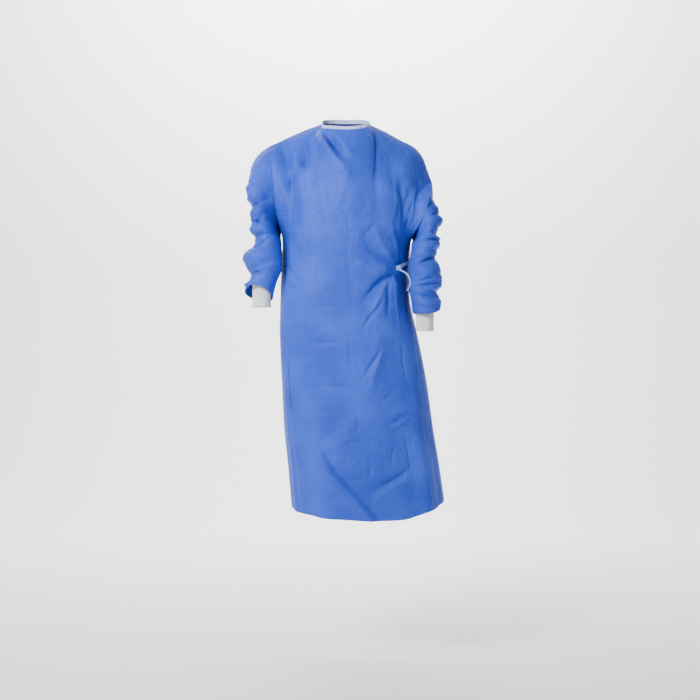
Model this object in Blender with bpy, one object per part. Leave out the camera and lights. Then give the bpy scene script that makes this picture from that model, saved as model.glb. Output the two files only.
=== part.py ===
"""A wrap-back surgical gown as it hangs when worn, hollow and open at neck, hem and cuffs.

Metres, +Z up. The origin is the middle of the neck at the height of the shoulders.
The front faces -Y, and the wearer's left is +X. A drop is a depth below the origin.
"""

import math
from dataclasses import dataclass

import bmesh
import bpy
import numpy as np

WALL = 0.0014
CUFF_WALL = 0.0018
RIBBON_WALL = 0.0012
SEAM_GAP = 0.0003
LAY_GAP = 0.0005
SHARPEST_CORNER = 0.5

# Columns of the body's grid, from one underarm to the other along a panel's upper edge.
ARMHOLE_STEPS = 9
SHOULDER_STEPS = 6
NECK_STEPS = 10
STEPS = 2 * (ARMHOLE_STEPS + SHOULDER_STEPS) + NECK_STEPS
NECK_START = ARMHOLE_STEPS + SHOULDER_STEPS
NECK_END = NECK_START + NECK_STEPS
UPPER_ROWS = 9

# The wrap at the back: the outer layer starts at this column, the under layer ends at the other.
OUTER_EDGE = 17
UNDER_EDGE = 23
WRAP_LIFT = 0.0048
WRAP_FADE = 7
WRAP_FADE_ROWS = 5
WRAP_SPREAD = 0.35
WRAP_TILT = 0.35
WRAP_TILT_DROP = 0.25

CHEST_DROP = 0.380
SKIRT_STEPS = (0, 0.05, 0.1, 0.15, 0.205, 0.265, 0.33, 0.405, 0.49, 0.58, 0.67, 0.76, 0.84, 0.92, 1)
SQUARENESS = 2.35
COLUMN_CROWDING = 0.35

# Level sections of the body: reach to each side, and the angles of the side seams,
# counted anticlockwise from the wearer's left, as seen from above.
SECTION_NAMES = ("drop", "right", "left", "front", "back", "right_seam", "left_seam")
SECTIONS = (
    (0.380, -0.187, 0.1955, -0.150, 0.135, 186, 356),
    (0.430, -0.190, 0.192, -0.147, 0.128, 188, 355),
    (0.490, -0.192, 0.191, -0.147, 0.129, 191, 353),
    (0.546, -0.1935, 0.1955, -0.150, 0.135, 200, 349),
    (0.624, -0.195, 0.213, -0.155, 0.146, 208, 338),
    (0.780, -0.189, 0.244, -0.160, 0.160, 210, 330),
    (0.927, -0.181, 0.264, -0.163, 0.170, 211, 325),
    (1.020, -0.171, 0.279, -0.165, 0.174, 212, 323),
    (1.180, -0.157, 0.302, -0.167, 0.180, 213, 321),
)

# The drop of the hem at each angle. The first row is the last one, a whole turn earlier.
HEM_START = -40
HEM = (
    (-40, 1.150), (0, 1.133), (45, 1.142), (90, 1.150), (135, 1.152), (180, 1.156),
    (213, 1.160), (240, 1.169), (270, 1.173), (292, 1.172), (320, 1.150), (360, 1.133),
)

# Points of the seams, each with the way that the cloth of the front or back leaves it.
SEAM_NAMES = ("x", "y", "z", "dx", "dy", "dz")
RIGHT_ARMHOLE_FRONT = (
    (-0.185, 0.000, -0.312, 0.0, -0.1, -1.0),
    (-0.200, -0.050, -0.298, 0.3, -0.2, -0.9),
    (-0.208, -0.071, -0.245, 0.7, -0.4, -0.6),
    (-0.2125, -0.072, -0.178, 0.75, -0.45, -0.45),
    (-0.2180, -0.054, -0.122, 0.7, -0.65, -0.3),
    (-0.2035, 0.012, -0.0605, 0.5, -0.8, -0.35),
)
RIGHT_SHOULDER = (
    (-0.2035, 0.012, -0.0605, 0.5, -0.8, -0.35),
    (-0.162, 0.010, -0.0410, 0.1, -0.9, -0.4),
    (-0.115, 0.006, -0.0215, 0.0, -0.9, -0.45),
    (-0.0700, 0.000, -0.0060, -0.25, -0.85, -0.45),
)
FRONT_NECK = (
    (-0.0700, 0.000, -0.0060, -0.25, -0.85, -0.45),
    (-0.0665, -0.030, -0.0225, -0.45, -0.8, -0.5),
    (-0.0450, -0.056, -0.0290, -0.25, -0.85, -0.6),
    (0.0030, -0.067, -0.0335, 0.0, -0.9, -0.7),
    (0.0500, -0.053, -0.0275, 0.25, -0.85, -0.6),
    (0.0715, -0.028, -0.0175, 0.28, -0.85, -0.5),
    (0.0740, 0.004, -0.0070, 0.16, -0.88, -0.45),
)
LEFT_SHOULDER = (
    (0.0740, 0.004, -0.0070, 0.16, -0.88, -0.45), (0.1225, 0.008, -0.0285, 0.06, -0.9, -0.45),
    (0.1700, 0.010, -0.0545, 0.0, -0.9, -0.5), (0.2070, 0.010, -0.0735, -0.1, -0.9, -0.45),
    (0.2310, 0.010, -0.1000, -0.2, -0.9, -0.4), (0.2490, 0.006, -0.1480, -0.3, -0.9, -0.2),
    (0.2620, 0.000, -0.1850, -0.35, -0.9, 0.05),
)
LEFT_ARMHOLE_FRONT = (
    (0.2620, 0.000, -0.185, -0.35, -0.9, 0.05),
    (0.2560, -0.045, -0.200, -0.7, -0.6, -0.1),
    (0.2480, -0.072, -0.230, -0.8, -0.4, -0.3),
    (0.2360, -0.085, -0.280, -0.8, -0.25, -0.5),
    (0.2170, -0.070, -0.322, -0.5, -0.3, -0.8),
    (0.1975, -0.005, -0.340, 0.0, -0.1, -1.0),
)
LEFT_ARMHOLE_BACK = (
    (0.1975, -0.005, -0.340, 0.0, 0.1, -1.0),
    (0.2180, 0.058, -0.318, -0.5, 0.3, -0.8),
    (0.2420, 0.074, -0.255, -0.8, 0.35, -0.5),
    (0.2560, 0.046, -0.203, -0.7, 0.6, -0.1),
    (0.2620, 0.000, -0.185, -0.35, 0.9, 0.05),
)
BACK_NECK = (
    (0.0740, 0.004, -0.0070, 0.16, 0.88, -0.45),
    (0.0640, 0.034, 0.0030, 0.28, 0.85, -0.5),
    (0.0380, 0.056, 0.0080, 0.25, 0.85, -0.6),
    (0.0000, 0.064, 0.0090, 0.0, 0.9, -0.6),
    (-0.0380, 0.056, 0.0080, -0.25, 0.85, -0.6),
    (-0.0620, 0.032, 0.0030, -0.30, 0.85, -0.5),
    (-0.0700, 0.000, -0.0060, -0.20, 0.88, -0.45),
)
RIGHT_ARMHOLE_BACK = (
    (-0.2035, 0.012, -0.0605, 0.5, 0.8, -0.35),
    (-0.2220, 0.060, -0.112, 0.7, 0.65, -0.3),
    (-0.2200, 0.080, -0.180, 0.75, 0.45, -0.45),
    (-0.2070, 0.069, -0.250, 0.7, 0.35, -0.6),
    (-0.1970, 0.042, -0.298, 0.3, 0.2, -0.9),
    (-0.1850, 0.000, -0.312, 0.0, 0.1, -1.0),
)

# Folds that run along a line of the front or back: a positive push stands out.
FOLD_NAMES = ("x0", "drop0", "push0", "x1", "drop1", "push1", "width")
FRONT_FOLDS = (
    (-0.082, 0.036, 0.006, -0.062, 0.092, 0.011, 0.018),
    (-0.062, 0.092, 0.011, 0.006, 0.180, 0.005, 0.018),
    (-0.044, 0.060, -0.010, -0.012, 0.116, -0.005, 0.018),
    (-0.108, 0.060, -0.006, -0.118, 0.135, -0.007, 0.018),
    (-0.118, 0.135, -0.007, -0.160, 0.200, -0.004, 0.018),
    (-0.150, 0.110, 0.005, -0.152, 0.180, 0.004, 0.018),
    (0.120, 0.090, -0.004, 0.158, 0.210, -0.006, 0.020),
    (0.192, 0.200, 0.006, 0.164, 0.330, 0.005, 0.018),
    (0.186, 0.320, -0.008, 0.166, 0.425, -0.010, 0.014),
    (0.120, 0.200, 0.004, 0.135, 0.330, 0.005, 0.022),
    (0.146, 0.440, -0.007, 0.066, 0.385, -0.004, 0.016),
    (0.130, 0.400, 0.006, 0.090, 0.335, 0.003, 0.018),
    (0.116, 0.455, 0.006, 0.050, 0.445, 0.003, 0.018),
    (0.134, 0.468, -0.008, 0.058, 0.545, -0.004, 0.016),
    (0.138, 0.490, 0.007, 0.095, 0.580, 0.003, 0.018),
    (0.160, 0.475, -0.008, 0.160, 0.575, -0.003, 0.016),
    (-0.160, 0.360, -0.005, -0.150, 0.520, -0.003, 0.020),
    (0.095, 0.670, 0.006, 0.065, 0.810, 0.003, 0.028),
    (-0.135, 0.720, -0.007, -0.140, 0.830, -0.004, 0.022),
    (-0.100, 0.950, 0.005, -0.040, 1.030, 0.008, 0.024),
    (-0.040, 1.030, 0.008, 0.074, 1.180, 0.014, 0.030),
    (0.080, 1.090, -0.006, 0.190, 1.030, -0.006, 0.024),
    (0.000, 0.860, -0.005, -0.060, 0.950, -0.003, 0.030),
    (0.150, 0.860, 0.005, 0.215, 0.840, 0.006, 0.024),
)
BACK_FOLDS = (
    (-0.060, 0.060, -0.006, -0.110, 0.200, -0.006, 0.020),
    (0.070, 0.060, -0.006, 0.120, 0.190, -0.006, 0.020),
    (0.130, 0.090, 0.006, 0.150, 0.250, 0.007, 0.020),
    (-0.140, 0.100, 0.006, -0.140, 0.260, 0.006, 0.020),
    (0.000, 0.400, -0.007, 0.150, 0.330, -0.006, 0.018),
    (0.000, 0.430, 0.006, 0.160, 0.420, 0.004, 0.018),
    (-0.020, 0.450, -0.007, 0.140, 0.520, -0.006, 0.020),
    (-0.030, 0.420, -0.006, -0.150, 0.360, -0.006, 0.020),
    (-0.050, 0.450, 0.006, -0.140, 0.500, 0.005, 0.020),
)

# Soft upright waves round the skirt, which grow towards the hem.
WAVE_NAMES = ("degrees", "spread", "push", "from_drop")
WAVES = (
    (-22, 7, -0.005, 0.70), (6, 8, 0.004, 0.62), (24, 8, -0.012, 0.55), (44, 9, 0.011, 0.55),
    (64, 8, -0.012, 0.60), (84, 9, 0.010, 0.60), (104, 8, -0.011, 0.58), (124, 9, 0.012, 0.55),
    (146, 9, -0.013, 0.52), (168, 8, 0.006, 0.55), (190, 7, -0.006, 0.60), (226, 7, -0.006, 0.75),
    (240, 8, 0.006, 0.80), (256, 7, -0.005, 0.95), (303, 8, -0.006, 0.80), (318, 8, 0.006, 0.60),
)
WAVE_FULL = 0.45

SLEEVE_STEPS = 2 * ARMHOLE_STEPS
CAP_ROWS = 16
ARM_STEPS = 12
ARM_START = 0.385
PANEL_PULLS = (0.36, 0.40)
# Folds fade out towards the sides and the seams, and lean upwards on the shoulders.
FACING = (0.030, 0.080)
SEAM_FADE = 0.22
SHOULDER_TILT = 0.8
SIDEWAYS_EASE = 0.85
CAP_PULLS = (0.42, 0.40)
# The way in which a sleeve leaves its armhole: sideways and upright, on its inner and outer side,
# and lengthways at the front and at the back.
CAP_NAMES = ("side_inner", "side_outer", "up_inner", "up_outer", "front", "back")
RIGHT_CAP = (0.30, 1.20, -0.90, -0.45, 0.35, 0.35)
LEFT_CAP = (0.36, 0.06, -0.90, -1.00, -0.10, 0.35)
CAP_FADE = 0.15
CUFF_LENGTH = 0.074
CUFF_ROWS = 4
TURN_IN = 0.0035
TURN_RISE = 0.008
THROAT_ROWS = 3
THROAT = 0.005
THROAT_DIP = 0.001
CUFF_SLACK = 0.06

# Level sections of each sleeve below the underarm, and the drop of its open end on four sides.
ARM_NAMES = ("drop", "outer", "inner", "middle_y", "reach_y")
RIGHT_ARM = (
    (0.385, -0.2740, -0.1865, -0.064, 0.060), (0.403, -0.2950, -0.1850, -0.072, 0.060),
    (0.417, -0.3005, -0.1840, -0.076, 0.061), (0.441, -0.2925, -0.1840, -0.077, 0.058),
    (0.479, -0.2775, -0.2005, -0.073, 0.048), (0.497, -0.2840, -0.2055, -0.073, 0.045),
    (0.513, -0.2965, -0.2095, -0.073, 0.048), (0.524, -0.2950, -0.2115, -0.073, 0.046),
)
LEFT_ARM = (
    (0.385, 0.2800, 0.1960, -0.062, 0.060), (0.412, 0.2690, 0.1900, -0.072, 0.056),
    (0.441, 0.2785, 0.1870, -0.079, 0.060), (0.480, 0.2855, 0.1860, -0.084, 0.058),
    (0.505, 0.2820, 0.1870, -0.090, 0.054), (0.517, 0.2680, 0.1890, -0.092, 0.048),
    (0.535, 0.2760, 0.1920, -0.095, 0.047), (0.552, 0.2810, 0.1945, -0.098, 0.048),
    (0.575, 0.2790, 0.1975, -0.100, 0.046),
)
END_NAMES = ("inner", "front", "outer", "back", "throat")
RIGHT_END = (0.529, 0.4945, 0.513, 0.536, 0.484)
LEFT_END = (0.575, 0.5785, 0.5665, 0.580, 0.555)
CUFF_NAMES = ("x", "y", "reach_x", "reach_y")
RIGHT_CUFF = (-0.2445, -0.074, 0.0270, 0.0310)
LEFT_CUFF = (0.2335, -0.101, 0.0255, 0.0310)

# Creases round a sleeve: which way each faces, in degrees as above, and how it slopes.
CREASE_NAMES = ("drop", "slope", "push", "width", "degrees", "spread")
RIGHT_CREASES = (
    (0.150, 0.2, -0.005, 0.013, 215, 60),
    (0.205, 0.0, 0.008, 0.016, 205, 70),
    (0.238, 0.3, -0.010, 0.012, 215, 75),
    (0.268, 0.5, 0.006, 0.013, 225, 60),
    (0.305, -0.2, -0.007, 0.012, 220, 70),
    (0.330, 0.1, 0.004, 0.012, 230, 60),
    (0.352, 0.2, -0.007, 0.012, 225, 75),
    (0.372, 0.0, -0.006, 0.010, 190, 70),
    (0.432, 0.3, -0.005, 0.010, 265, 50),
    (0.190, -0.2, -0.008, 0.014, 110, 60),
    (0.225, 0.1, 0.007, 0.014, 100, 60),
    (0.262, 0.2, -0.008, 0.013, 115, 60),
    (0.312, -0.2, 0.007, 0.014, 95, 60),
    (0.345, 0.1, -0.007, 0.013, 110, 60),
    (0.398, 0.1, 0.006, 0.014, 90, 60),
    (0.430, -0.1, -0.007, 0.012, 80, 60),
)
LEFT_CREASES = (
    (0.238, -0.2, -0.009, 0.013, 325, 55),
    (0.258, 0.0, 0.015, 0.014, 0, 65), (0.296, 0.0, 0.0215, 0.024, 0, 65),
    (0.300, 0.2, -0.004, 0.011, 320, 40),
    (0.342, 0.0, -0.010, 0.012, 325, 60),
    (0.368, 0.1, 0.005, 0.012, 315, 50),
    (0.408, 0.1, -0.007, 0.012, 300, 70),
    (0.455, 0.2, 0.004, 0.015, 275, 50),
    (0.490, -0.3, -0.004, 0.011, 285, 50),
    (0.240, 0.2, -0.008, 0.014, 60, 60),
    (0.280, -0.1, 0.007, 0.014, 75, 60),
    (0.320, 0.2, -0.008, 0.013, 65, 60),
    (0.365, 0.0, 0.007, 0.014, 80, 60),
    (0.400, -0.2, -0.008, 0.013, 70, 60),
    (0.445, 0.1, 0.006, 0.014, 90, 60),
    (0.478, 0.1, -0.006, 0.012, 85, 60),
)
CREASE_START = 0.10
CREASE_FULL = 0.15
CREASE_REACH = 3

BINDING_RISE = 0.0080
BINDING_LEAN = 0.0020

# The neck tab lies on the outer layer: its columns from the free edge, and its rows.
TAB_COLUMNS = 3
TAB_ROWS = (0.4, 1.0, 1.7)
TAB_GAP = 0.0012

# The waist tie follows the back and the side to the knot: drops at its stations.
TIE_WIDTH = 0.010
TIE_START_DROP = 0.432
TIE_SIDE_DROP = 0.417
TIE_END_DROP = 0.444
TIE_BACK_COLUMNS = 2
TIE_FRONT_COLUMNS = 8
TIE_RISE = 0.0012
KNOT_RADIUS = 0.0080
KNOT_WRAPS = 3
KNOT_RELIEF = 0.10
KNOT_SLANT = (0.8, 0.6)
KNOT_SEGMENTS = (16, 10)
KNOT_ROW = UPPER_ROWS + 2
KNOT_COLUMN = STEPS - TIE_FRONT_COLUMNS - 1
KNOT_SEAT = (0.0038, 0.0071)
TAIL_WIDTH = 0.0062
TAIL_STEPS = 10
TAIL_SLOPE = 0.35
# Points of the free end, measured from the middle of the knot, and how far it turns as it falls.
TAIL = (
    (0.0062, -0.0030, -0.0068, 20),
    (0.0190, -0.0065, -0.0140, 30),
    (0.0290, -0.0075, -0.0270, 50),
    (0.0325, -0.0065, -0.0420, 55),
    (0.0300, -0.0050, -0.0550, 45),
    (0.0235, -0.0045, -0.0665, 25),
)

BLUE = (0.085, 0.215, 0.680, 1.0)
PALE_BLUE = (0.480, 0.610, 0.950, 1.0)
WHITE = (0.850, 0.860, 0.850, 1.0)
CLOTH_ROUGHNESS = 0.62
KNIT_ROUGHNESS = 0.85


@dataclass
class Cloth:
    """A sheet of cloth by its middle: rows from the top down, columns from left to right outside."""

    name: str
    points: np.ndarray
    material: str
    wall: float = WALL
    tube: bool = False


def named(names, row):
    return dict(zip(names, row, strict=True))


def read_smoothly(table, where):
    """Every column of a table at a value of its first, on a smooth curve through the rows."""
    rows = np.array(table, float)
    at = rows[:, 0]
    i = int(np.clip(np.searchsorted(at, where) - 1, 0, len(at) - 2))
    step = at[i + 1] - at[i]
    t = float(np.clip((where - at[i]) / step, 0, 1))
    slopes = np.gradient(rows, at, axis=0)
    start, end = rows[i], rows[i + 1]
    return (
        (2 * t**3 - 3 * t**2 + 1) * start
        + (t**3 - 2 * t**2 + t) * step * slopes[i]
        + (3 * t**2 - 2 * t**3) * end
        + (t**3 - t**2) * step * slopes[i + 1]
    )


def evenly_along(points, steps):
    """Points at equal lengths along a smooth curve through the given ones."""
    points = np.array(points, float)
    spans = np.linalg.norm(np.diff(points[:, :3], axis=0), axis=1)
    lengths = np.concatenate([[0], np.cumsum(spans)])
    table = np.column_stack([lengths, points])
    return [read_smoothly(table, s)[1:] for s in np.linspace(0, lengths[-1], steps + 1)]


def smooth_step(low, high, value):
    t = min(max((value - low) / (high - low), 0.0), 1.0)
    return t * t * (3 - 2 * t)


def unit(vector):
    return vector / np.linalg.norm(vector)


def seam_run(*stretches):
    """One list of points through several seams, which share their end points."""
    run = []
    for points in stretches:
        run += points[bool(run):]
    return run


def backwards(points):
    """A seam's own points in the other order, with the cloth leaving it to the back."""
    return [np.array([x, y, z, dx, -dy, dz]) for x, y, z, dx, dy, dz in points[::-1]]


RIGHT_RIDGE = evenly_along(RIGHT_SHOULDER, SHOULDER_STEPS)
LEFT_RIDGE = evenly_along(LEFT_SHOULDER, SHOULDER_STEPS)
FRONT_TOP = seam_run(
    evenly_along(RIGHT_ARMHOLE_FRONT, ARMHOLE_STEPS), RIGHT_RIDGE,
    evenly_along(FRONT_NECK, NECK_STEPS),
    LEFT_RIDGE, evenly_along(LEFT_ARMHOLE_FRONT, ARMHOLE_STEPS),
)
BACK_TOP = seam_run(
    evenly_along(LEFT_ARMHOLE_BACK, ARMHOLE_STEPS), backwards(LEFT_RIDGE),
    evenly_along(BACK_NECK, NECK_STEPS),
    backwards(RIGHT_RIDGE), evenly_along(RIGHT_ARMHOLE_BACK, ARMHOLE_STEPS),
)


def hem_drop(degrees):
    turned = (degrees - HEM_START) % 360 + HEM_START
    return float(read_smoothly(HEM, turned)[1])


def on_section(drop, degrees):
    """A point of the body's level section, and the level direction that points out of it there."""
    s = named(SECTION_NAMES, read_smoothly(SECTIONS, drop))
    angle = math.radians(degrees)
    middle = (s["left"] + s["right"]) / 2
    reach_x = (s["left"] - s["right"]) / 2
    reach_y = s["back"] if math.sin(angle) > 0 else -s["front"]
    power = 2 / SQUARENESS
    across = math.copysign(abs(math.cos(angle)) ** power, math.cos(angle))
    along = math.copysign(abs(math.sin(angle)) ** power, math.sin(angle))
    out = unit(np.array([math.cos(angle) / reach_x, math.sin(angle) / reach_y, 0.0]))
    return np.array([middle + reach_x * across, reach_y * along, -drop]), out


def seam_angles(drop):
    s = named(SECTION_NAMES, read_smoothly(SECTIONS, drop))
    return s["right_seam"], s["left_seam"]


def column_angle(front, drop, column):
    """The angle of a column at a drop. At the back the columns are wider towards the middle."""
    right, left = seam_angles(drop)
    if front:
        return right + (left - right) * column / STEPS
    w = 2 * column / STEPS - 1
    w *= 1 + COLUMN_CROWDING * (1 - w * w)
    return (left - 360 + right) / 2 + (right - left + 360) / 2 * w


def wave_push(degrees, drop):
    total = 0.0
    for row in WAVES:
        wave = named(WAVE_NAMES, row)
        away = (degrees - wave["degrees"] + 180) % 360 - 180
        grown = smooth_step(0, WAVE_FULL, drop - wave["from_drop"])
        total += wave["push"] * grown * math.exp(-((away / wave["spread"]) ** 2))
    return total


def fold_push(folds, x, drop):
    total = 0.0
    for row in folds:
        f = named(FOLD_NAMES, row)
        start = np.array([f["x0"], f["drop0"]])
        run = np.array([f["x1"], f["drop1"]]) - start
        along = float(np.clip(np.dot(np.array([x, drop]) - start, run) / np.dot(run, run), 0, 1))
        away = np.linalg.norm(np.array([x, drop]) - start - along * run)
        push = f["push0"] + (f["push1"] - f["push0"]) * along
        total += push * math.exp(-((away / f["width"]) ** 2))
    return total


def folded(front, point, out, degrees, edge_fade):
    """The point moved out or in by the folds and waves. Both sides of a side seam move alike."""
    folds = FRONT_FOLDS if front else BACK_FOLDS
    facing = smooth_step(*FACING, -point[1] if front else point[1])
    push = fold_push(folds, point[0], -point[2]) * facing * edge_fade
    return point + out * (push + wave_push(degrees, -point[2]))


def body_column(front, column):
    """One column of the front or back, from the upper edge down to the hem."""
    edge = named(SEAM_NAMES, (FRONT_TOP if front else BACK_TOP)[column])
    top = np.array([edge["x"], edge["y"], edge["z"]])
    leaving = unit(np.array([edge["dx"], edge["dy"], edge["dz"]]))
    degrees = column_angle(front, CHEST_DROP, column)
    chest, out = on_section(CHEST_DROP, degrees)
    reach = np.linalg.norm(chest - top)
    upright = np.array([0, 0, reach * PANEL_PULLS[1]])
    pull = PANEL_PULLS[0] * (1 - SIDEWAYS_EASE * abs(leaving[0]))
    handles = (top, top + leaving * reach * pull, chest + upright, chest)
    column_points = []
    for row in range(UPPER_ROWS):
        t = row / UPPER_ROWS
        weights = ((1 - t) ** 3, 3 * t * (1 - t) ** 2, 3 * t * t * (1 - t), t**3)
        point = sum(w * h for w, h in zip(weights, handles, strict=True))
        away = unit(out + np.array([0, 0, SHOULDER_TILT * (1 - t)]))
        column_points.append(folded(front, point, away, degrees, smooth_step(0, SEAM_FADE, t)))
    for step in SKIRT_STEPS:
        drop = CHEST_DROP + (hem_drop(degrees) - CHEST_DROP) * step
        degrees = column_angle(front, drop, column)
        drop = CHEST_DROP + (hem_drop(degrees) - CHEST_DROP) * step
        point, out = on_section(drop, degrees)
        column_points.append(folded(front, point, out, degrees, 1))
    return column_points


def lifted(points, column):
    """Where the wrap is double, the outer layer stands off the under one, up to the shoulder seam."""
    moved = []
    for row, point in enumerate(points):
        below = smooth_step(0, WRAP_FADE_ROWS, row)
        end = NECK_END + (UNDER_EDGE + WRAP_FADE - NECK_END) * below
        lift = WRAP_LIFT * (1 - smooth_step(UNDER_EDGE, end, column))
        upward = WRAP_TILT * (1 - smooth_step(0, WRAP_TILT_DROP, -point[2]))
        moved.append(point + unit(np.array([point[0] * WRAP_SPREAD, 1.0, upward])) * lift)
    return moved


def body_panels():
    front = [body_column(True, c) for c in range(STEPS + 1)]
    back = [body_column(False, c) for c in range(STEPS + 1)]
    under = back[: UNDER_EDGE + 1]
    outer = [lifted(back[c], c) for c in range(OUTER_EDGE, STEPS + 1)]
    return [
        Cloth("front_panel", np.array(front).transpose(1, 0, 2), "blue"),
        Cloth("back_panel_left", np.array(under).transpose(1, 0, 2), "blue"),
        Cloth("back_panel_right", np.array(outer).transpose(1, 0, 2), "blue"),
    ]


def armhole_loop(left):
    """The armhole from the underarm, anticlockwise as seen from above, by its points alone."""
    if left:
        front = [p[:3] for p in FRONT_TOP[-ARMHOLE_STEPS - 1 :]][::-1]
        back = [p[:3] for p in BACK_TOP[: ARMHOLE_STEPS + 1]][::-1]
        return front + back[1:-1]
    front = [p[:3] for p in FRONT_TOP[: ARMHOLE_STEPS + 1]][::-1]
    back = [p[:3] for p in BACK_TOP[-ARMHOLE_STEPS - 1 :]][::-1]
    return back + front[1:-1]


def arm_section(left, drop, height, column):
    """A point round the sleeve at its own height, with the angle that it faces."""
    s = named(ARM_NAMES, read_smoothly(LEFT_ARM if left else RIGHT_ARM, drop))
    degrees = (180 if left else 0) + 360 * column / SLEEVE_STEPS
    angle = math.radians(degrees)
    middle = (s["outer"] + s["inner"]) / 2
    reach = abs(s["outer"] - s["inner"]) / 2
    x = middle + reach * math.cos(angle)
    return np.array([x, s["middle_y"] + s["reach_y"] * math.sin(angle), height]), degrees


def end_drop(end, left, degrees):
    """The drop of the sleeve's lower edge on the side that faces this way."""
    inner_at = 180 if left else 0
    angle = math.radians(degrees - inner_at)
    level = (end["inner"] + end["front"] + end["outer"] + end["back"]) / 4
    sideways = (end["inner"] - end["outer"]) / 2 * math.cos(angle)
    lengthways = (end["back"] - end["front"]) / 2 * math.sin(math.radians(degrees))
    both = (end["inner"] + end["outer"] - end["front"] - end["back"]) / 4
    return level + sideways + lengthways + both * math.cos(2 * angle)


def creased(left, point, degrees, middle):
    """A sleeve's point moved out or in by the creases that face its way."""
    out = point - middle
    out[2] = 0
    out = unit(out)
    push = 0.0
    for row in LEFT_CREASES if left else RIGHT_CREASES:
        crease = named(CREASE_NAMES, row)
        off = -point[2] - crease["drop"] - crease["slope"] * (abs(point[0]) - abs(middle[0]))
        turn = (degrees - crease["degrees"] + 180) % 360 - 180
        if abs(off) < CREASE_REACH * crease["width"]:
            shape = math.exp(-((off / crease["width"]) ** 2) - (turn / crease["spread"]) ** 2)
            push += crease["push"] * shape
    return point + out * push * smooth_step(CREASE_START, CREASE_FULL, -point[2])


def sleeve_rows(left):
    arm_top = named(ARM_NAMES, (LEFT_ARM if left else RIGHT_ARM)[0])
    end = named(END_NAMES, LEFT_END if left else RIGHT_END)
    cuff = named(CUFF_NAMES, LEFT_CUFF if left else RIGHT_CUFF)
    cap = named(CAP_NAMES, LEFT_CAP if left else RIGHT_CAP)
    side = 1 if left else -1
    middle = np.array([(arm_top["outer"] + arm_top["inner"]) / 2, arm_top["middle_y"], 0])
    loop = armhole_loop(left)
    rows = [[] for _ in range(CAP_ROWS + ARM_STEPS + 1 + THROAT_ROWS)]
    for column, start in enumerate(loop):
        foot, degrees = arm_section(left, ARM_START, -ARM_START, column)
        angle = math.radians(degrees)
        outer = (1 + side * math.cos(angle)) / 2
        lengthways = cap["front"] if math.sin(angle) < 0 else cap["back"]
        leaving = unit(np.array([
            side * (cap["side_inner"] + (cap["side_outer"] - cap["side_inner"]) * outer),
            lengthways * math.sin(angle),
            cap["up_inner"] + (cap["up_outer"] - cap["up_inner"]) * outer,
        ]))
        reach = np.linalg.norm(foot - start)
        handles = (
            start, start + leaving * reach * CAP_PULLS[0],
            foot + np.array([0, 0, reach * CAP_PULLS[1]]), foot,
        )
        for row in range(CAP_ROWS):
            t = row / CAP_ROWS
            weights = ((1 - t) ** 3, 3 * t * (1 - t) ** 2, 3 * t * t * (1 - t), t**3)
            point = sum(w * h for w, h in zip(weights, handles, strict=True))
            fade = smooth_step(0, CAP_FADE, t)
            moved = creased(left, point, degrees, middle)
            rows[row].append(point + (moved - point) * fade)
        lowest = end_drop(end, left, degrees)
        for row in range(ARM_STEPS + 1):
            t = row / ARM_STEPS
            last = (LEFT_ARM if left else RIGHT_ARM)[-1][0]
            height = -(ARM_START + (lowest - ARM_START) * t)
            point, _ = arm_section(left, ARM_START + (last - ARM_START) * t, height, column)
            rows[CAP_ROWS + row].append(creased(left, point, degrees, middle))
        edge = rows[CAP_ROWS + ARM_STEPS][column]
        inward = unit(np.array([cuff["x"], cuff["y"], 0]) - np.array([edge[0], edge[1], 0]))
        around = np.array([cuff["reach_x"] * math.cos(angle), cuff["reach_y"] * math.sin(angle), 0])
        throat = np.array([cuff["x"], cuff["y"], -end["throat"]]) + around
        turned = edge + inward * TURN_IN + np.array([0, 0, TURN_RISE])
        rows[-3].append(turned)
        rows[-2].append(throat + unit(around) * THROAT - np.array([0, 0, THROAT_DIP]))
        rows[-1].append(throat)
    return rows


def cuff_rows(throat_ring, left):
    drops = np.linspace(0, CUFF_LENGTH, CUFF_ROWS + 1)
    cuff = named(CUFF_NAMES, LEFT_CUFF if left else RIGHT_CUFF)
    middle = np.array([cuff["x"], cuff["y"], 0])
    rows = []
    for drop in drops:
        slim = 1 - CUFF_SLACK * math.sin(math.pi * drop / CUFF_LENGTH)
        row = []
        for p in throat_ring:
            level = np.array([p[0], p[1], 0])
            row.append(middle + (level - middle) * slim + np.array([0, 0, p[2] - drop]))
        rows.append(row)
    return rows


def sleeves_and_cuffs():
    pieces = []
    for left, side in ((True, "left"), (False, "right")):
        rows = sleeve_rows(left)
        pieces.append(Cloth(f"sleeve_{side}", np.array(rows), "blue", WALL, True))
        cuff = np.array(cuff_rows(rows[-1], left))
        pieces.append(Cloth(f"cuff_{side}", cuff, "white", CUFF_WALL, True))
    return pieces


def neck_binding(front, under, outer):
    """A strip that goes on from the edge of the neck, from one free edge of the wrap to the other."""
    start = NECK_END - OUTER_EDGE
    edge = list(outer.points[0, : start + 1])
    edge += list(front.points[0, NECK_START + 1 : NECK_END + 1])
    edge += list(under.points[0, NECK_START + 1 : UNDER_EDGE + 1])
    top = []
    for point in edge:
        inward = unit(np.array([-point[0], -point[1], 0.0]))
        top.append(point + inward * BINDING_LEAN + np.array([0, 0, BINDING_RISE]))
    return Cloth("neck_binding", np.array([top, edge]), "pale")


def shared_normals(pieces):
    """One outward direction for each place, which every piece that meets there takes."""
    sums = {}
    for cloth in pieces:
        for corners in triangles(cloth):
            a, b, c = (cloth.points[corner] for corner in corners)
            for corner in corners:
                key = place(cloth.points[corner])
                sums[key] = sums.get(key, 0) + np.cross(b - a, c - a)
    return {key: unit(total) for key, total in sums.items()}


def place(point):
    return tuple(np.round(point, 6))


def triangles(cloth):
    rows, columns = cloth.points.shape[:2]
    for r in range(rows - 1):
        for c in range(columns if cloth.tube else columns - 1):
            d = (c + 1) % columns
            yield (r, c), (r + 1, c), (r + 1, d)
            yield (r, c), (r + 1, d), (r, d)


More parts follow.
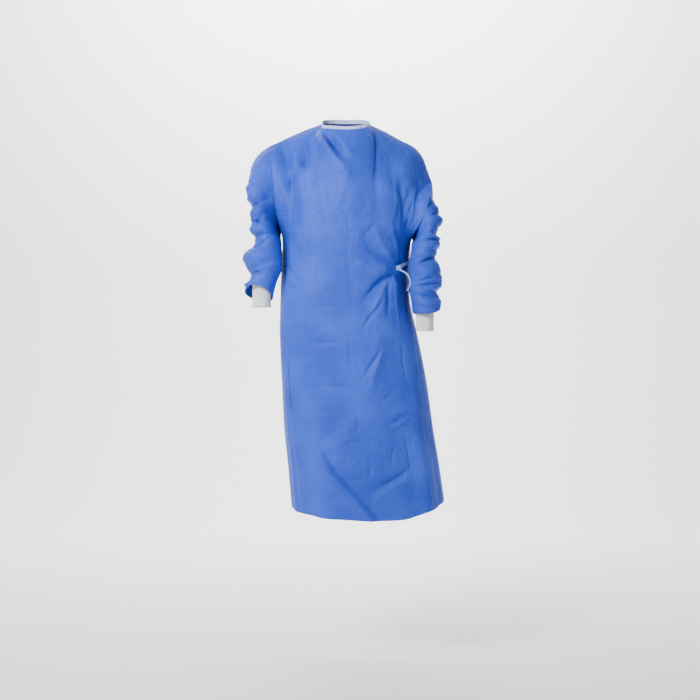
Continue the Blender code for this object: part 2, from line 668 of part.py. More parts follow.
def free_edges(cloth):
    """The edges that one triangle alone has, in the order in which it goes round them."""
    ways = set()
    for a, b, c in triangles(cloth):
        ways |= {(a, b), (b, c), (c, a)}
    return [(a, b) for a, b in ways if (b, a) not in ways]


def drawn_in(cloth, normals):
    """How far each edge point moves into its own piece, to leave half of the gap at a seam."""
    sides = {}
    for a, b in sorted(free_edges(cloth)):
        start, end = cloth.points[a], cloth.points[b]
        for corner in (a, b):
            inward = unit(np.cross(normals[place(cloth.points[corner])], end - start))
            sides.setdefault(corner, []).append(inward)
    moves = {}
    for corner, (one, other) in sides.items():
        moves[corner] = (one + other) * SEAM_GAP / 2 / max(1 + np.dot(one, other), SHARPEST_CORNER)
    return moves


def add_wall(cloth, normals, materials, collection):
    """The sheet given its thickness, half of it to each side of the middle."""
    mesh = bmesh.new()
    moves = drawn_in(cloth, normals)
    outer, inner = {}, {}
    rows, columns = cloth.points.shape[:2]
    for corner in np.ndindex(rows, columns):
        point = cloth.points[corner]
        half = normals[place(point)] * cloth.wall / 2
        point = point + moves.get(corner, 0)
        outer[corner] = mesh.verts.new(point + half)
        inner[corner] = mesh.verts.new(point - half)
    for a, b, c in triangles(cloth):
        mesh.faces.new((outer[a], outer[b], outer[c]))
        mesh.faces.new((inner[c], inner[b], inner[a]))
    for a, b in sorted(free_edges(cloth)):
        # The two pieces at a seam split the quad at its end the same way, so they stay parallel.
        if place(cloth.points[a]) < place(cloth.points[b]):
            mesh.faces.new((outer[b], outer[a], inner[b]))
            mesh.faces.new((outer[a], inner[a], inner[b]))
        else:
            mesh.faces.new((outer[b], outer[a], inner[a]))
            mesh.faces.new((outer[b], inner[a], inner[b]))
    return add_object(cloth.name, mesh, materials[cloth.material], collection)


def add_object(name, mesh, material, collection):
    data = bpy.data.meshes.new(name)
    mesh.to_mesh(data)
    mesh.free()
    data.shade_smooth()
    data.materials.append(material)
    part = bpy.data.objects.new(name, data)
    collection.objects.link(part)
    return part


def patch_on(name, cloth, normals, columns, at_rows, material):
    """A small patch laid on a panel, from the panel's own points moved out."""
    lift = WALL / 2 + TAB_GAP + RIBBON_WALL / 2
    rows = []
    for at in at_rows:
        row = int(at)
        part = at - row
        line = []
        for c in range(columns):
            upper, lower = cloth.points[row, c], cloth.points[row + 1, c]
            normal = normals[place(upper)] * (1 - part) + normals[place(lower)] * part
            line.append(upper * (1 - part) + lower * part + unit(normal) * lift)
        rows.append(line)
    return Cloth(name, np.array(rows), material, RIBBON_WALL)


def at_drop(cloth, normals, column, drop, lift):
    """The place on a column of a panel at this drop, moved out by lift."""
    line = cloth.points[:, column]
    row = int(np.searchsorted(-line[:, 2], drop)) - 1
    part = (drop + line[row, 2]) / (line[row, 2] - line[row + 1, 2])
    normal = normals[place(line[row])] * (1 - part) + normals[place(line[row + 1])] * part
    return line[row] * (1 - part) + line[row + 1] * part + unit(normal) * lift


def waist_tie(front, under, outer, normals):
    """A flat tie from the free edge of the wrap, round the wearer's left, to the knot."""
    lift = WALL / 2 + LAY_GAP + RIBBON_WALL / 2
    stops = [(outer, c) for c in range(TIE_BACK_COLUMNS, -1, -1)]
    stops += [(under, c) for c in range(OUTER_EDGE - 1, -1, -1)]
    side = len(stops) - 1
    stops += [(front, STEPS - c) for c in range(1, TIE_FRONT_COLUMNS + 1)]
    rows = [[], []]
    for i, (cloth, column) in enumerate(stops):
        rise = lift
        if i <= side:
            drop = TIE_START_DROP + (TIE_SIDE_DROP - TIE_START_DROP) * smooth_step(0, side, i)
        else:
            share = (i - side) / (len(stops) - 1 - side)
            drop = TIE_SIDE_DROP + (TIE_END_DROP - TIE_SIDE_DROP) * share
            rise += TIE_RISE * share
        for row, edge in enumerate((-1, 1)):
            spot = drop + edge * TIE_WIDTH / 2
            rows[row].append(at_drop(cloth, normals, column, spot, rise))
    points = np.array([line[::-1] for line in rows])
    return Cloth("waist_tie", points, "pale", RIBBON_WALL)


def knot_place(tie, front, normals):
    """The middle of the knot: past the front end of the tie, in line with it and clear of the panel."""
    end = (tie.points[0, 0] + tie.points[1, 0]) / 2
    before = (tie.points[0, 1] + tie.points[1, 1]) / 2
    out = normals[place(front.points[KNOT_ROW, KNOT_COLUMN])]
    return end + unit(end - before) * KNOT_SEAT[0] + out * KNOT_SEAT[1]


def tie_tail(knot):
    """The free end that hangs from the knot, as a ribbon that turns as it falls."""
    spine = evenly_along(TAIL, TAIL_STEPS)
    rows = []
    for x, y, z, turn in spine:
        across = np.array([math.cos(math.radians(turn)), -math.sin(math.radians(turn)), TAIL_SLOPE])
        middle = knot + np.array([x, y, z])
        half = unit(across) * TAIL_WIDTH / 2
        rows.append([middle - half, middle + half])
    return Cloth("tie_tail", np.array(rows), "pale", RIBBON_WALL)


def tie_knot(centre, materials, collection):
    """A small tight knot: a rounded lump with the wraps of the tie standing out on it."""
    mesh = bmesh.new()
    around, upright = KNOT_SEGMENTS
    bmesh.ops.create_uvsphere(mesh, u_segments=around, v_segments=upright, radius=1)
    for vert in mesh.verts:
        wrap = math.cos(KNOT_WRAPS * math.pi * (vert.co.x * KNOT_SLANT[0] + vert.co.z * KNOT_SLANT[1]))
        vert.co *= 1 + KNOT_RELIEF * wrap
        for axis in range(3):
            vert.co[axis] = vert.co[axis] * KNOT_RADIUS + centre[axis]
    return add_object("tie_knot", mesh, materials["pale"], collection)


def plain_material(name, colour, roughness):
    material = bpy.data.materials.new(name)
    material.use_nodes = True
    shader = material.node_tree.nodes["Principled BSDF"]
    shader.inputs["Base Color"].default_value = colour
    shader.inputs["Roughness"].default_value = roughness
    shader.inputs["Metallic"].default_value = 0.0
    return material


def clear_scene():
    for thing in list(bpy.data.objects):
        bpy.data.objects.remove(thing, do_unlink=True)


def main():
    clear_scene()
    collection = bpy.data.collections.new("exam_gown")
    bpy.context.scene.collection.children.link(collection)
    materials = {
        "blue": plain_material("gown_cloth", BLUE, CLOTH_ROUGHNESS),
        "pale": plain_material("binding_and_ties", PALE_BLUE, CLOTH_ROUGHNESS),
        "white": plain_material("knit_cuff", WHITE, KNIT_ROUGHNESS),
    }
    front, under, outer = body_panels()
    binding = neck_binding(front, under, outer)
    sewn = [front, under, outer, binding, *sleeves_and_cuffs()]
    normals = shared_normals(sewn)
    tie = waist_tie(front, under, outer, normals)
    knot = knot_place(tie, front, normals)
    tab = patch_on("neck_tab", outer, normals, TAB_COLUMNS, TAB_ROWS, "white")
    laid = [tab, tie, tie_tail(knot)]
    for cloth in sewn:
        add_wall(cloth, normals, materials, collection)
    for cloth in laid:
        add_wall(cloth, shared_normals([cloth]), materials, collection)
    tie_knot(knot, materials, collection)


main()
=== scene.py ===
# %% [markdown]
# An exam gown is cut flat from thin nonwoven cloth and sewn into a front, two backs that overlap and
# two sleeves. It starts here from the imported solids, which fix its size and its place in space.
# Each solid is then replaced by a thinner and finer sheet on the same form.

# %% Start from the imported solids
import math

import bmesh
import bpy
import numpy as np
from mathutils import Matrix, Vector


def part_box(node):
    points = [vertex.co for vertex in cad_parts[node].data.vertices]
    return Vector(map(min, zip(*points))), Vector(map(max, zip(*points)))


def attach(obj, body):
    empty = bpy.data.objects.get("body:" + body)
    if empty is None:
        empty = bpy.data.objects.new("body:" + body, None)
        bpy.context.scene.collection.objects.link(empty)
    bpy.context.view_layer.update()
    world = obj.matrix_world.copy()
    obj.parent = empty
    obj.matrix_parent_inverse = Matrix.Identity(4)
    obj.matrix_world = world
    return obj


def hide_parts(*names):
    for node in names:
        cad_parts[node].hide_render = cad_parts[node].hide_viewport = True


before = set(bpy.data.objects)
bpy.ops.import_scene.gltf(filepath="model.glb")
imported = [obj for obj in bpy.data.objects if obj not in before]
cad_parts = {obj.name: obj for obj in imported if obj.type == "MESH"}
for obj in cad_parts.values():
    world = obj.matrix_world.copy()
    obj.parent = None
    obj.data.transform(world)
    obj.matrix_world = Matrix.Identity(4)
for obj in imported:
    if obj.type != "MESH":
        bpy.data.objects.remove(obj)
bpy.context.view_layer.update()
print("solids:", ", ".join(sorted(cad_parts)))

# %% [markdown]
# The camera stands level in front of the gown, at the height of the middle of the picture. It is made
# first, because every later step is judged through it. A long lens keeps the sides nearly parallel,
# as they are in a catalogue picture.

# %% Camera
CAMERA_PLACE = (0.015, -3.6, -0.684)
camera_data = bpy.data.cameras.new("camera")
camera_data.lens = 61.7
camera_data.sensor_width = 36.0
camera = bpy.data.objects.new("camera", camera_data)
camera.location = CAMERA_PLACE
camera.rotation_euler = (math.radians(90), 0, 0)
bpy.context.scene.collection.objects.link(camera)
bpy.context.scene.camera = camera
print("camera", CAMERA_PLACE, "lens", camera_data.lens, "mm")

# %% [markdown]
# Cloth follows smooth curves between a few known places, so the sizes of the gown are short tables
# that are read on a smooth curve. Reading many places at once with numpy keeps fine sheets fast.
# Long tables are in millimetres, which are easier to read, and are turned into metres when used.

# %% Helpers that read the tables


def read_curve(table, where):
    """The columns of a table at many values of its first, on a smooth curve through its rows."""
    rows = np.array(table, float)
    at = rows[:, 0]
    where = np.asarray(where, float)
    i = np.clip(np.searchsorted(at, where) - 1, 0, len(at) - 2)
    step = (at[i + 1] - at[i])[..., None]
    t = np.clip((where[..., None] - at[i][..., None]) / step, 0, 1)
    slopes = np.gradient(rows, at, axis=0)
    return (
        (2 * t**3 - 3 * t**2 + 1) * rows[i] + (t**3 - 2 * t**2 + t) * step * slopes[i]
        + (3 * t**2 - 2 * t**3) * rows[i + 1] + (t**3 - t**2) * step * slopes[i + 1]
    )


def along(points, steps):
    """Points at equal lengths along a smooth curve through the given ones."""
    points = np.array(points, float)
    spans = np.linalg.norm(np.diff(points[:, :3], axis=0), axis=1)
    lengths = np.concatenate([[0], np.cumsum(spans)])
    table = np.column_stack([lengths, points])
    return read_curve(table, np.linspace(0, lengths[-1], steps + 1))[:, 1:]


def metres(table, *columns):
    """A table of millimetres in metres, in the given columns or in all of them."""
    rows = np.array(table, float)
    rows[:, list(columns) if columns else slice(None)] /= 1000
    return rows


def ramp(low, high, value):
    t = np.clip((value - low) / (high - low), 0, 1)
    return t * t * (3 - 2 * t)


def unit(vectors):
    return vectors / np.linalg.norm(vectors, axis=-1, keepdims=True)


def length_of(line):
    return float(np.linalg.norm(np.diff(line, axis=0), axis=1).sum())


print("a line of 1000 mm is read as", length_of(metres([[0, 0, 0], [1000, 0, 0]])), "m")

# %% [markdown]
# The body of the gown is a tube of level sections. Each row of this table is one section: how far it
# reaches to the right, left, front and back, and at which angles the side seams lie. Angles run
# anticlockwise from the wearer's left, as seen from above. A drop is a depth below the shoulders.

# %% Sections of the body and its hem
CHEST_DROP = 0.380
SQUARENESS = 2.35
SECTIONS = (
    (0.380, -0.187, 0.1955, -0.150, 0.135, 186, 356),
    (0.430, -0.190, 0.192, -0.147, 0.128, 188, 355),
    (0.490, -0.192, 0.191, -0.147, 0.129, 191, 353),
    (0.546, -0.1935, 0.1955, -0.150, 0.135, 200, 349),
    (0.624, -0.195, 0.213, -0.155, 0.146, 208, 338),
    (0.780, -0.189, 0.244, -0.160, 0.160, 210, 330),
    (0.927, -0.181, 0.264, -0.163, 0.170, 211, 325),
    (1.020, -0.171, 0.279, -0.165, 0.174, 212, 323),
    (1.180, -0.157, 0.302, -0.167, 0.180, 213, 321),
)
HEM = (
    (-40, 1.150), (0, 1.133), (45, 1.142), (90, 1.150), (135, 1.152), (180, 1.156),
    (213, 1.160), (240, 1.169), (270, 1.173), (292, 1.172), (320, 1.150), (360, 1.133),
)


def hem_drop(degrees):
    return read_curve(HEM, (degrees + 40) % 360 - 40)[..., 1]


def on_section(drop, degrees):
    """Places on the body's sections, and the level directions that point out of it there."""
    _, right, left, front, back, _, _ = np.moveaxis(read_curve(SECTIONS, drop), -1, 0)
    angle = np.radians(degrees)
    reach_x = (left - right) / 2
    reach_y = np.where(np.sin(angle) > 0, back, -front)
    power = 2 / SQUARENESS
    x = (left + right) / 2 + reach_x * np.sign(np.cos(angle)) * np.abs(np.cos(angle)) ** power
    y = reach_y * np.sign(np.sin(angle)) * np.abs(np.sin(angle)) ** power
    out = unit(np.stack([np.cos(angle) / reach_x, np.sin(angle) / reach_y, 0 * angle], axis=-1))
    return np.stack([x, y, -drop + 0 * x], axis=-1), out


ring_angles = np.arange(361.0)
chest_ring, _ = on_section(np.full(len(ring_angles), CHEST_DROP), ring_angles)
print("girth at the chest", round(length_of(chest_ring), 2), "m")

# %% [markdown]
# The upper edges of the panels are the seams that a maker sews first: armholes, shoulders and neck.
# Each point has its place and the way in which the cloth leaves it, so that the front and the back
# roll over the shoulders as real cloth does. The wearer's left armhole has slipped down the arm.

# %% Seams at the top of the panels
# Each point: its place in metres, then the way in which the cloth leaves it.
ARMHOLE_STEPS, SHOULDER_STEPS, NECK_STEPS = 9, 6, 10
STEPS = 2 * (ARMHOLE_STEPS + SHOULDER_STEPS) + NECK_STEPS
NECK_START = ARMHOLE_STEPS + SHOULDER_STEPS
NECK_END = NECK_START + NECK_STEPS
RIGHT_ARMHOLE_FRONT = (
    (-0.185, 0, -0.312, 0, -0.1, -1), (-0.2, -0.05, -0.298, 0.3, -0.2, -0.9),
    (-0.208, -0.071, -0.245, 0.7, -0.4, -0.6), (-0.2125, -0.072, -0.178, 0.75, -0.45, -0.45),
    (-0.218, -0.054, -0.122, 0.7, -0.65, -0.3), (-0.2035, 0.012, -0.0605, 0.5, -0.8, -0.35),
)
RIGHT_SHOULDER = (
    (-0.2035, 0.012, -0.0605, 0.5, -0.8, -0.35), (-0.162, 0.01, -0.041, 0.1, -0.9, -0.4),
    (-0.115, 0.006, -0.0215, 0, -0.9, -0.45), (-0.07, 0, -0.006, -0.25, -0.85, -0.45),
)
FRONT_NECK = (
    (-0.07, 0, -0.006, -0.25, -0.85, -0.45), (-0.0665, -0.03, -0.0225, -0.45, -0.8, -0.5),
    (-0.045, -0.056, -0.029, -0.25, -0.85, -0.6), (0.003, -0.067, -0.0335, 0, -0.9, -0.7),
    (0.05, -0.053, -0.0275, 0.25, -0.85, -0.6), (0.0715, -0.028, -0.0175, 0.28, -0.85, -0.5),
    (0.074, 0.004, -0.007, 0.16, -0.88, -0.45),
)
LEFT_SHOULDER = (
    (0.074, 0.004, -0.007, 0.16, -0.88, -0.45), (0.1225, 0.008, -0.0285, 0.06, -0.9, -0.45),
    (0.17, 0.01, -0.0545, 0, -0.9, -0.5), (0.207, 0.01, -0.0735, -0.1, -0.9, -0.45),
    (0.231, 0.01, -0.1, -0.2, -0.9, -0.4), (0.249, 0.006, -0.148, -0.3, -0.9, -0.2),
    (0.262, 0, -0.185, -0.35, -0.9, 0.05),
)
LEFT_ARMHOLE_FRONT = (
    (0.262, 0, -0.185, -0.35, -0.9, 0.05), (0.256, -0.045, -0.2, -0.7, -0.6, -0.1),
    (0.248, -0.072, -0.23, -0.8, -0.4, -0.3), (0.236, -0.085, -0.28, -0.8, -0.25, -0.5),
    (0.217, -0.07, -0.322, -0.5, -0.3, -0.8), (0.1975, -0.005, -0.34, 0, -0.1, -1),
)
LEFT_ARMHOLE_BACK = (
    (0.1975, -0.005, -0.34, 0, 0.1, -1), (0.218, 0.058, -0.318, -0.5, 0.3, -0.8),
    (0.242, 0.074, -0.255, -0.8, 0.35, -0.5), (0.256, 0.046, -0.203, -0.7, 0.6, -0.1),
    (0.262, 0, -0.185, -0.35, 0.9, 0.05),
)
BACK_NECK = (
    (0.074, 0.004, -0.007, 0.16, 0.88, -0.45), (0.064, 0.034, 0.003, 0.28, 0.85, -0.5),
    (0.038, 0.056, 0.008, 0.25, 0.85, -0.6), (0, 0.064, 0.009, 0, 0.9, -0.6),
    (-0.038, 0.056, 0.008, -0.25, 0.85, -0.6), (-0.062, 0.032, 0.003, -0.3, 0.85, -0.5),
    (-0.07, 0, -0.006, -0.2, 0.88, -0.45),
)
RIGHT_ARMHOLE_BACK = (
    (-0.2035, 0.012, -0.0605, 0.5, 0.8, -0.35), (-0.222, 0.06, -0.112, 0.7, 0.65, -0.3),
    (-0.22, 0.08, -0.18, 0.75, 0.45, -0.45), (-0.207, 0.069, -0.25, 0.7, 0.35, -0.6),
    (-0.197, 0.042, -0.298, 0.3, 0.2, -0.9), (-0.185, 0, -0.312, 0, 0.1, -1),
)
FINER = 4


def seam_run(*stretches):
    """One run of points through several seams, which share their end points."""
    return np.concatenate([part[min(i, 1):] for i, part in enumerate(stretches)])


def backwards(points):
    """A seam in the other order, with the cloth leaving it to the back."""
    return points[::-1] * np.array([1, 1, 1, 1, -1, 1])


right_ridge = along(RIGHT_SHOULDER, SHOULDER_STEPS * FINER)
left_ridge = along(LEFT_SHOULDER, SHOULDER_STEPS * FINER)
front_top = seam_run(
    along(RIGHT_ARMHOLE_FRONT, ARMHOLE_STEPS * FINER), right_ridge,
    along(FRONT_NECK, NECK_STEPS * FINER), left_ridge,
    along(LEFT_ARMHOLE_FRONT, ARMHOLE_STEPS * FINER),
)
back_top = seam_run(
    along(LEFT_ARMHOLE_BACK, ARMHOLE_STEPS * FINER), backwards(left_ridge),
    along(BACK_NECK, NECK_STEPS * FINER), backwards(right_ridge),
    along(RIGHT_ARMHOLE_BACK, ARMHOLE_STEPS * FINER),
)
print("top edge of the front:", len(front_top), "points; of the back:", len(back_top))

# %% [markdown]
# Large folds decide how the gown catches the light. Each row here is one stretch of a fold, from one
# place to another, with how far it pushes the cloth out or in at either end and how wide it is. Soft
# upright waves grow towards the hem all round. The same folds are in the solids.

# %% Large folds and waves
# In millimetres: sideways place, drop and push where the fold starts, the same where it ends, width.
FRONT_FOLDS = (
    (-82, 36, 6, -62, 92, 11, 18), (-62, 92, 11, 6, 180, 5, 18), (-44, 60, -10, -12, 116, -5, 18),
    (-108, 60, -6, -118, 135, -7, 18), (-118, 135, -7, -160, 200, -4, 18),
    (-150, 110, 5, -152, 180, 4, 18), (120, 90, -4, 158, 210, -6, 20),
    (192, 200, 6, 164, 330, 5, 18), (186, 320, -8, 166, 425, -10, 14),
    (120, 200, 4, 135, 330, 5, 22), (146, 440, -7, 66, 385, -4, 16), (130, 400, 6, 90, 335, 3, 18),
    (116, 455, 6, 50, 445, 3, 18), (134, 468, -8, 58, 545, -4, 16), (138, 490, 7, 95, 580, 3, 18),
    (160, 475, -8, 160, 575, -3, 16), (-160, 360, -5, -150, 520, -3, 20),
    (95, 670, 6, 65, 810, 3, 28), (-135, 720, -7, -140, 830, -4, 22),
    (-100, 950, 5, -40, 1030, 8, 24), (-40, 1030, 8, 74, 1180, 14, 30),
    (80, 1090, -6, 190, 1030, -6, 24), (0, 860, -5, -60, 950, -3, 30),
    (150, 860, 5, 215, 840, 6, 24),
)
BACK_FOLDS = (
    (-60, 60, -6, -110, 200, -6, 20), (70, 60, -6, 120, 190, -6, 20), (130, 90, 6, 150, 250, 7, 20),
    (-140, 100, 6, -140, 260, 6, 20), (0, 400, -7, 150, 330, -6, 18), (0, 430, 6, 160, 420, 4, 18),
    (-20, 450, -7, 140, 520, -6, 20), (-30, 420, -6, -150, 360, -6, 20),
    (-50, 450, 6, -140, 500, 5, 20),
)
# Angle, spread in degrees, push in metres, and the drop at which the wave starts.
WAVES = (
    (-22, 7, -0.005, 0.70), (6, 8, 0.004, 0.62), (24, 8, -0.012, 0.55), (44, 9, 0.011, 0.55),
    (64, 8, -0.012, 0.60), (84, 9, 0.010, 0.60), (104, 8, -0.011, 0.58), (124, 9, 0.012, 0.55),
    (146, 9, -0.013, 0.52), (168, 8, 0.006, 0.55), (190, 7, -0.006, 0.60), (226, 7, -0.006, 0.75),
    (240, 8, 0.006, 0.80), (256, 7, -0.005, 0.95), (303, 8, -0.006, 0.80), (318, 8, 0.006, 0.60),
)
WAVE_FULL = 0.45


def fold_push(folds, x, drop):
    total = np.zeros_like(x)
    for x0, drop0, push0, x1, drop1, push1, width in metres(folds):
        run_x, run_d = x1 - x0, drop1 - drop0
        t = ((x - x0) * run_x + (drop - drop0) * run_d) / (run_x**2 + run_d**2)
        t = np.clip(t, 0, 1)
        away = np.hypot(x - x0 - t * run_x, drop - drop0 - t * run_d)
        total += (push0 + (push1 - push0) * t) * np.exp(-((away / width) ** 2))
    return total


def wave_push(degrees, drop):
    total = np.zeros_like(degrees)
    for centre, spread, push, start in WAVES:
        off = (degrees - centre + 180) % 360 - 180
        total += push * ramp(0, WAVE_FULL, drop - start) * np.exp(-((off / spread) ** 2))
    return total


print(len(FRONT_FOLDS) + len(BACK_FOLDS), "fold stretches and", len(WAVES), "waves")

# %% [markdown]
# A new gown is unfolded from a flat pack, so it keeps crisp papery creases that a woven cloth would
# not. Each crease below is a line of points with a height of its own at each, and a width to either
# side, so that some are soft rolls and some are sharp. They are placed one by one, because creases
# that repeat evenly look printed.

# %% Creases of the front and back
# In millimetres: near width, far width, and the points, each with its place, drop and height.
FRONT_CREASES = (
    (7, 13, (-67, 32, 3), (-79, 55, 4), (-58, 87, 5), (-32, 125, 4.5), (-5, 160, 3), (21, 187, 0)),
    (6, 9, (-58, 40, -4), (-41, 67, -7), (-20, 99, -5), (0, 128, 0)),
    (4, 8, (-41, 35, 2.5), (-11, 73, 3), (21, 122, 1.5), (44, 163, 0)),
    (5, 8, (-94, 24, -1.5), (-105, 77, -4), (-117, 121, -4.5), (-140, 159, -3), (-158, 191, 0)),
    (4, 6, (-111, 43, 2), (-135, 96, 3), (-147, 137, 2), (-159, 172, 0)),
    (3, 5, (-166, 146, 0), (-140, 163, -2.5), (-161, 190, -2.5), (-166, 228, 0)),
    (2.2, 3.5, (-123, 181, 0), (-95, 179, -1.3), (-43, 178, -1.3), (1, 181, 0)),
    (2.2, 3.2, (-121, 188, 0), (-121, 214, -1.3), (-122, 243, 0)),
    (2.2, 3.2, (-157, 222, 0), (-157, 277, -1.5), (-155, 364, 0)),
    (2, 3.2, (3, 191, 0), (5, 240, -1.2), (3, 295, 0)),
    (2, 3, (-77, 240, 0), (-31, 237, -0.8), (32, 243, 0)),
    (2.2, 3, (79, 104, 0), (85, 162, -0.4), (82, 237, 0)),
    (5, 9, (166, 178, 0), (166, 219, -4), (169, 288, -3), (158, 341, 0)),
    (4, 7, (149, 131, 0), (149, 190, 2.6), (149, 262, 2), (137, 318, 0)),
    (4, 7, (193, 188, 0), (184, 232, -4), (172, 270, -4), (167, 334, 0)),
    (4, 7, (210, 176, 0), (202, 235, 3.2), (190, 311, 3.2), (175, 381, 2), (161, 422, 0)),
    (5, 8, (193, 282, 0), (181, 328, -4.5), (172, 387, -5), (161, 433, 0)),
    (4, 8, (145, 438, -2), (113, 421, -4), (79, 401, -3.5), (58, 369, 0)),
    (3, 5, (55, 375, 0), (61, 349, -2.2), (84, 325, -2), (122, 291, 0)),
    (4, 7, (145, 427, 2), (119, 398, 3.5), (99, 366, 2.5), (90, 325, 0)),
    (4, 6, (157, 417, 2), (148, 377, 3), (137, 336, 2), (134, 290, 0)),
    (3, 5, (139, 448, 2), (101, 445, 3), (50, 436, 2), (3, 430, 0)),
    (4, 7, (133, 462, -2), (107, 479, -4.5), (81, 505, -4), (55, 540, 0)),
    (3, 6, (136, 471, 2), (113, 502, 3.6), (93, 543, 3), (73, 592, 0)),
    (6, 10, (130, 471, -2), (125, 511, -5.5), (125, 551, -5), (127, 609, 0)),
    (3, 6, (119, 528, 0), (90, 566, -3), (61, 606, -2.5), (44, 638, 0)),
    (4, 7, (145, 470, 2), (148, 516, 4), (154, 574, 2.5), (160, 644, 0)),
    (3, 5, (169, 469, 0), (178, 515, -3), (181, 573, -2), (184, 626, 0)),
    (3, 5, (-92, 422, 0), (-80, 459, -2.2), (-66, 511, 0)),
    (2.2, 4, (8, 410, 0), (11, 448, -2), (15, 491, 0)),
    (2.2, 4, (-130, 354, 0), (-112, 383, -1.6), (-98, 430, 0)),
    (3, 6, (-180, 428, 0), (-165, 451, -3), (-142, 478, -1.5), (-119, 492, 0)),
    (2.5, 5, (-177, 486, 0), (-157, 504, -2.4), (-130, 512, 0)),
    (2, 3.5, (-106, 564, 0), (-43, 560, -1), (61, 565, 0)),
    (2.4, 4, (-103, 665, 0), (-66, 663, -2.2), (-25, 664, -2), (6, 666, 0)),
    (5, 12, (110, 670, 0), (101, 707, 3.6), (84, 753, 3.4), (70, 811, 0)),
    (3, 8, (110, 672, 0), (84, 713, -3), (61, 750, -2.4), (44, 776, 0)),
    (2.4, 4, (-71, 786, 0), (-34, 788, -2.2), (1, 791, -2.6), (35, 802, -2.2), (70, 811, 0)),
    (2, 3.6, (-89, 834, 0), (-28, 832, -1.8), (35, 835, 0)),
    (2.4, 4, (104, 828, 0), (127, 820, -2.4), (156, 811, 0)),
    (3, 5, (122, 903, 0), (151, 887, -3.2), (188, 871, 0)),
    (2.6, 4.5, (127, 920, 0), (159, 899, 2.6), (191, 880, 0)),
    (2.2, 4, (-40, 932, 0), (-25, 918, -2.2), (-11, 903, 0)),
    (2.4, 4, (-11, 954, 0), (29, 949, -2.6), (76, 946, 0)),
    (5, 14, (-103, 951, 0), (-68, 983, 4), (-45, 1026, 6), (-14, 1066, 7.5), (32, 1114, 7.5),
     (75, 1170, 6)),
    (5, 8, (-83, 951, 0), (-51, 986, -3), (-25, 1029, -4.5), (6, 1066, -5), (52, 1115, -4.5),
     (96, 1170, -3)),
    (2.2, 4, (-11, 1060, 0), (38, 1056, -2.2), (84, 1056, 0)),
    (4, 7, (78, 1092, 0), (131, 1064, -4.5), (156, 1052, -4.5), (190, 1029, 0)),
    (4, 6, (90, 1107, 0), (136, 1084, 3.4), (170, 1066, 3), (205, 1040, 0)),
    (2.2, 4, (70, 1001, 0), (71, 1030, -2.2), (70, 1059, 0)),
    (2.4, 4, (-177, 931, 0), (-166, 937, -2.6), (-148, 942, 0)),
    (3, 5, (-142, 1052, 0), (-118, 1066, -1.8), (-95, 1078, 0)),
    (2.4, 4, (-130, 869, 0), (-118, 915, -1.8), (-115, 967, 0)),
    (2.2, 3.6, (15, 626, 0), (12, 690, -1.2), (18, 759, 0)),
    (2.4, 3.8, (165, 655, 0), (168, 719, -1.8), (183, 794, 0)),
    (2.6, 5, (171, 915, 0), (183, 979, -2.4), (200, 1060, 0)),
    (2.2, 3.6, (-54, 704, 0), (-48, 745, -1), (-51, 782, 0)),
    (2.2, 3.6, (32, 840, 0), (35, 886, -1.1), (32, 944, 0)),
    (2.4, 4, (148, 944, 0), (136, 990, -1.8), (130, 1030, 0)),
)
BACK_CREASES = (
    (5, 9, (-55, 30, 2), (-75, 90, 4), (-100, 160, 3), (-120, 220, 0)),
    (5, 8, (60, 30, -2), (85, 100, -4), (110, 170, -3), (130, 240, 0)),
    (4, 8, (20, 50, 0), (35, 140, 2.5), (40, 250, 2), (30, 360, 0)),
    (4, 6, (150, 140, 0), (162, 220, -3.5), (160, 310, -3), (150, 400, 0)),
    (4, 6, (-150, 120, 0), (-165, 200, 3.2), (-160, 300, 3), (-148, 380, 0)),
    (2.2, 3.6, (-100, 200, 0), (-30, 203, -1.4), (50, 200, 0)),
    (2.2, 3.6, (-20, 250, 0), (-22, 310, -1.3), (-20, 370, 0)),
    (4, 7, (-20, 430, -2), (40, 410, -4.5), (100, 370, -3.5), (150, 340, 0)),
    (4, 7, (-20, 438, 2), (40, 436, 3.6), (110, 424, 2.6), (160, 416, 0)),
    (4, 7, (-30, 446, -2), (30, 470, -4.5), (90, 505, -3.5), (140, 550, 0)),
    (3, 6, (-40, 445, 2), (-80, 480, 3.4), (-110, 530, 2.6), (-130, 600, 0)),
    (4, 7, (-40, 430, -2), (-90, 405, -4), (-140, 370, -3), (-160, 350, 0)),
    (3, 5, (0, 460, 0), (20, 520, 3), (30, 600, 2), (35, 680, 0)),
    (2.4, 4, (-120, 660, 0), (-50, 655, -1.8), (30, 660, 0)),
    (4, 9, (60, 620, 0), (75, 720, 3.4), (90, 840, 3), (100, 980, 0)),
    (4, 8, (-60, 700, 0), (-70, 800, -3.2), (-75, 920, -3), (-70, 1020, 0)),
    (2.4, 4, (-20, 780, 0), (50, 785, -1.8), (130, 775, 0)),
    (2.4, 4, (-140, 860, 0), (-80, 865, -1.6), (-20, 860, 0)),
    (4, 10, (-120, 920, 0), (-60, 990, 5), (0, 1050, 6), (50, 1120, 5)),
    (4, 7, (200, 900, 0), (150, 960, -3.6), (100, 1040, -4), (70, 1130, -2)),
    (2.2, 4, (0, 900, 0), (3, 950, -1.6), (0, 1000, 0)),
    (2.6, 4, (120, 700, 0), (150, 760, -2.2), (190, 800, 0)),
    (2.2, 3.6, (-50, 280, 0), (20, 283, -1.2), (90, 280, 0)),
)


CREASE_DEPTH = 1.7
CREASE_TOP = 0.0016


def rounded(distance, top):
    """A distance from a crease's line that starts flat, so that the crease has a round top."""
    return np.hypot(distance, top) - top


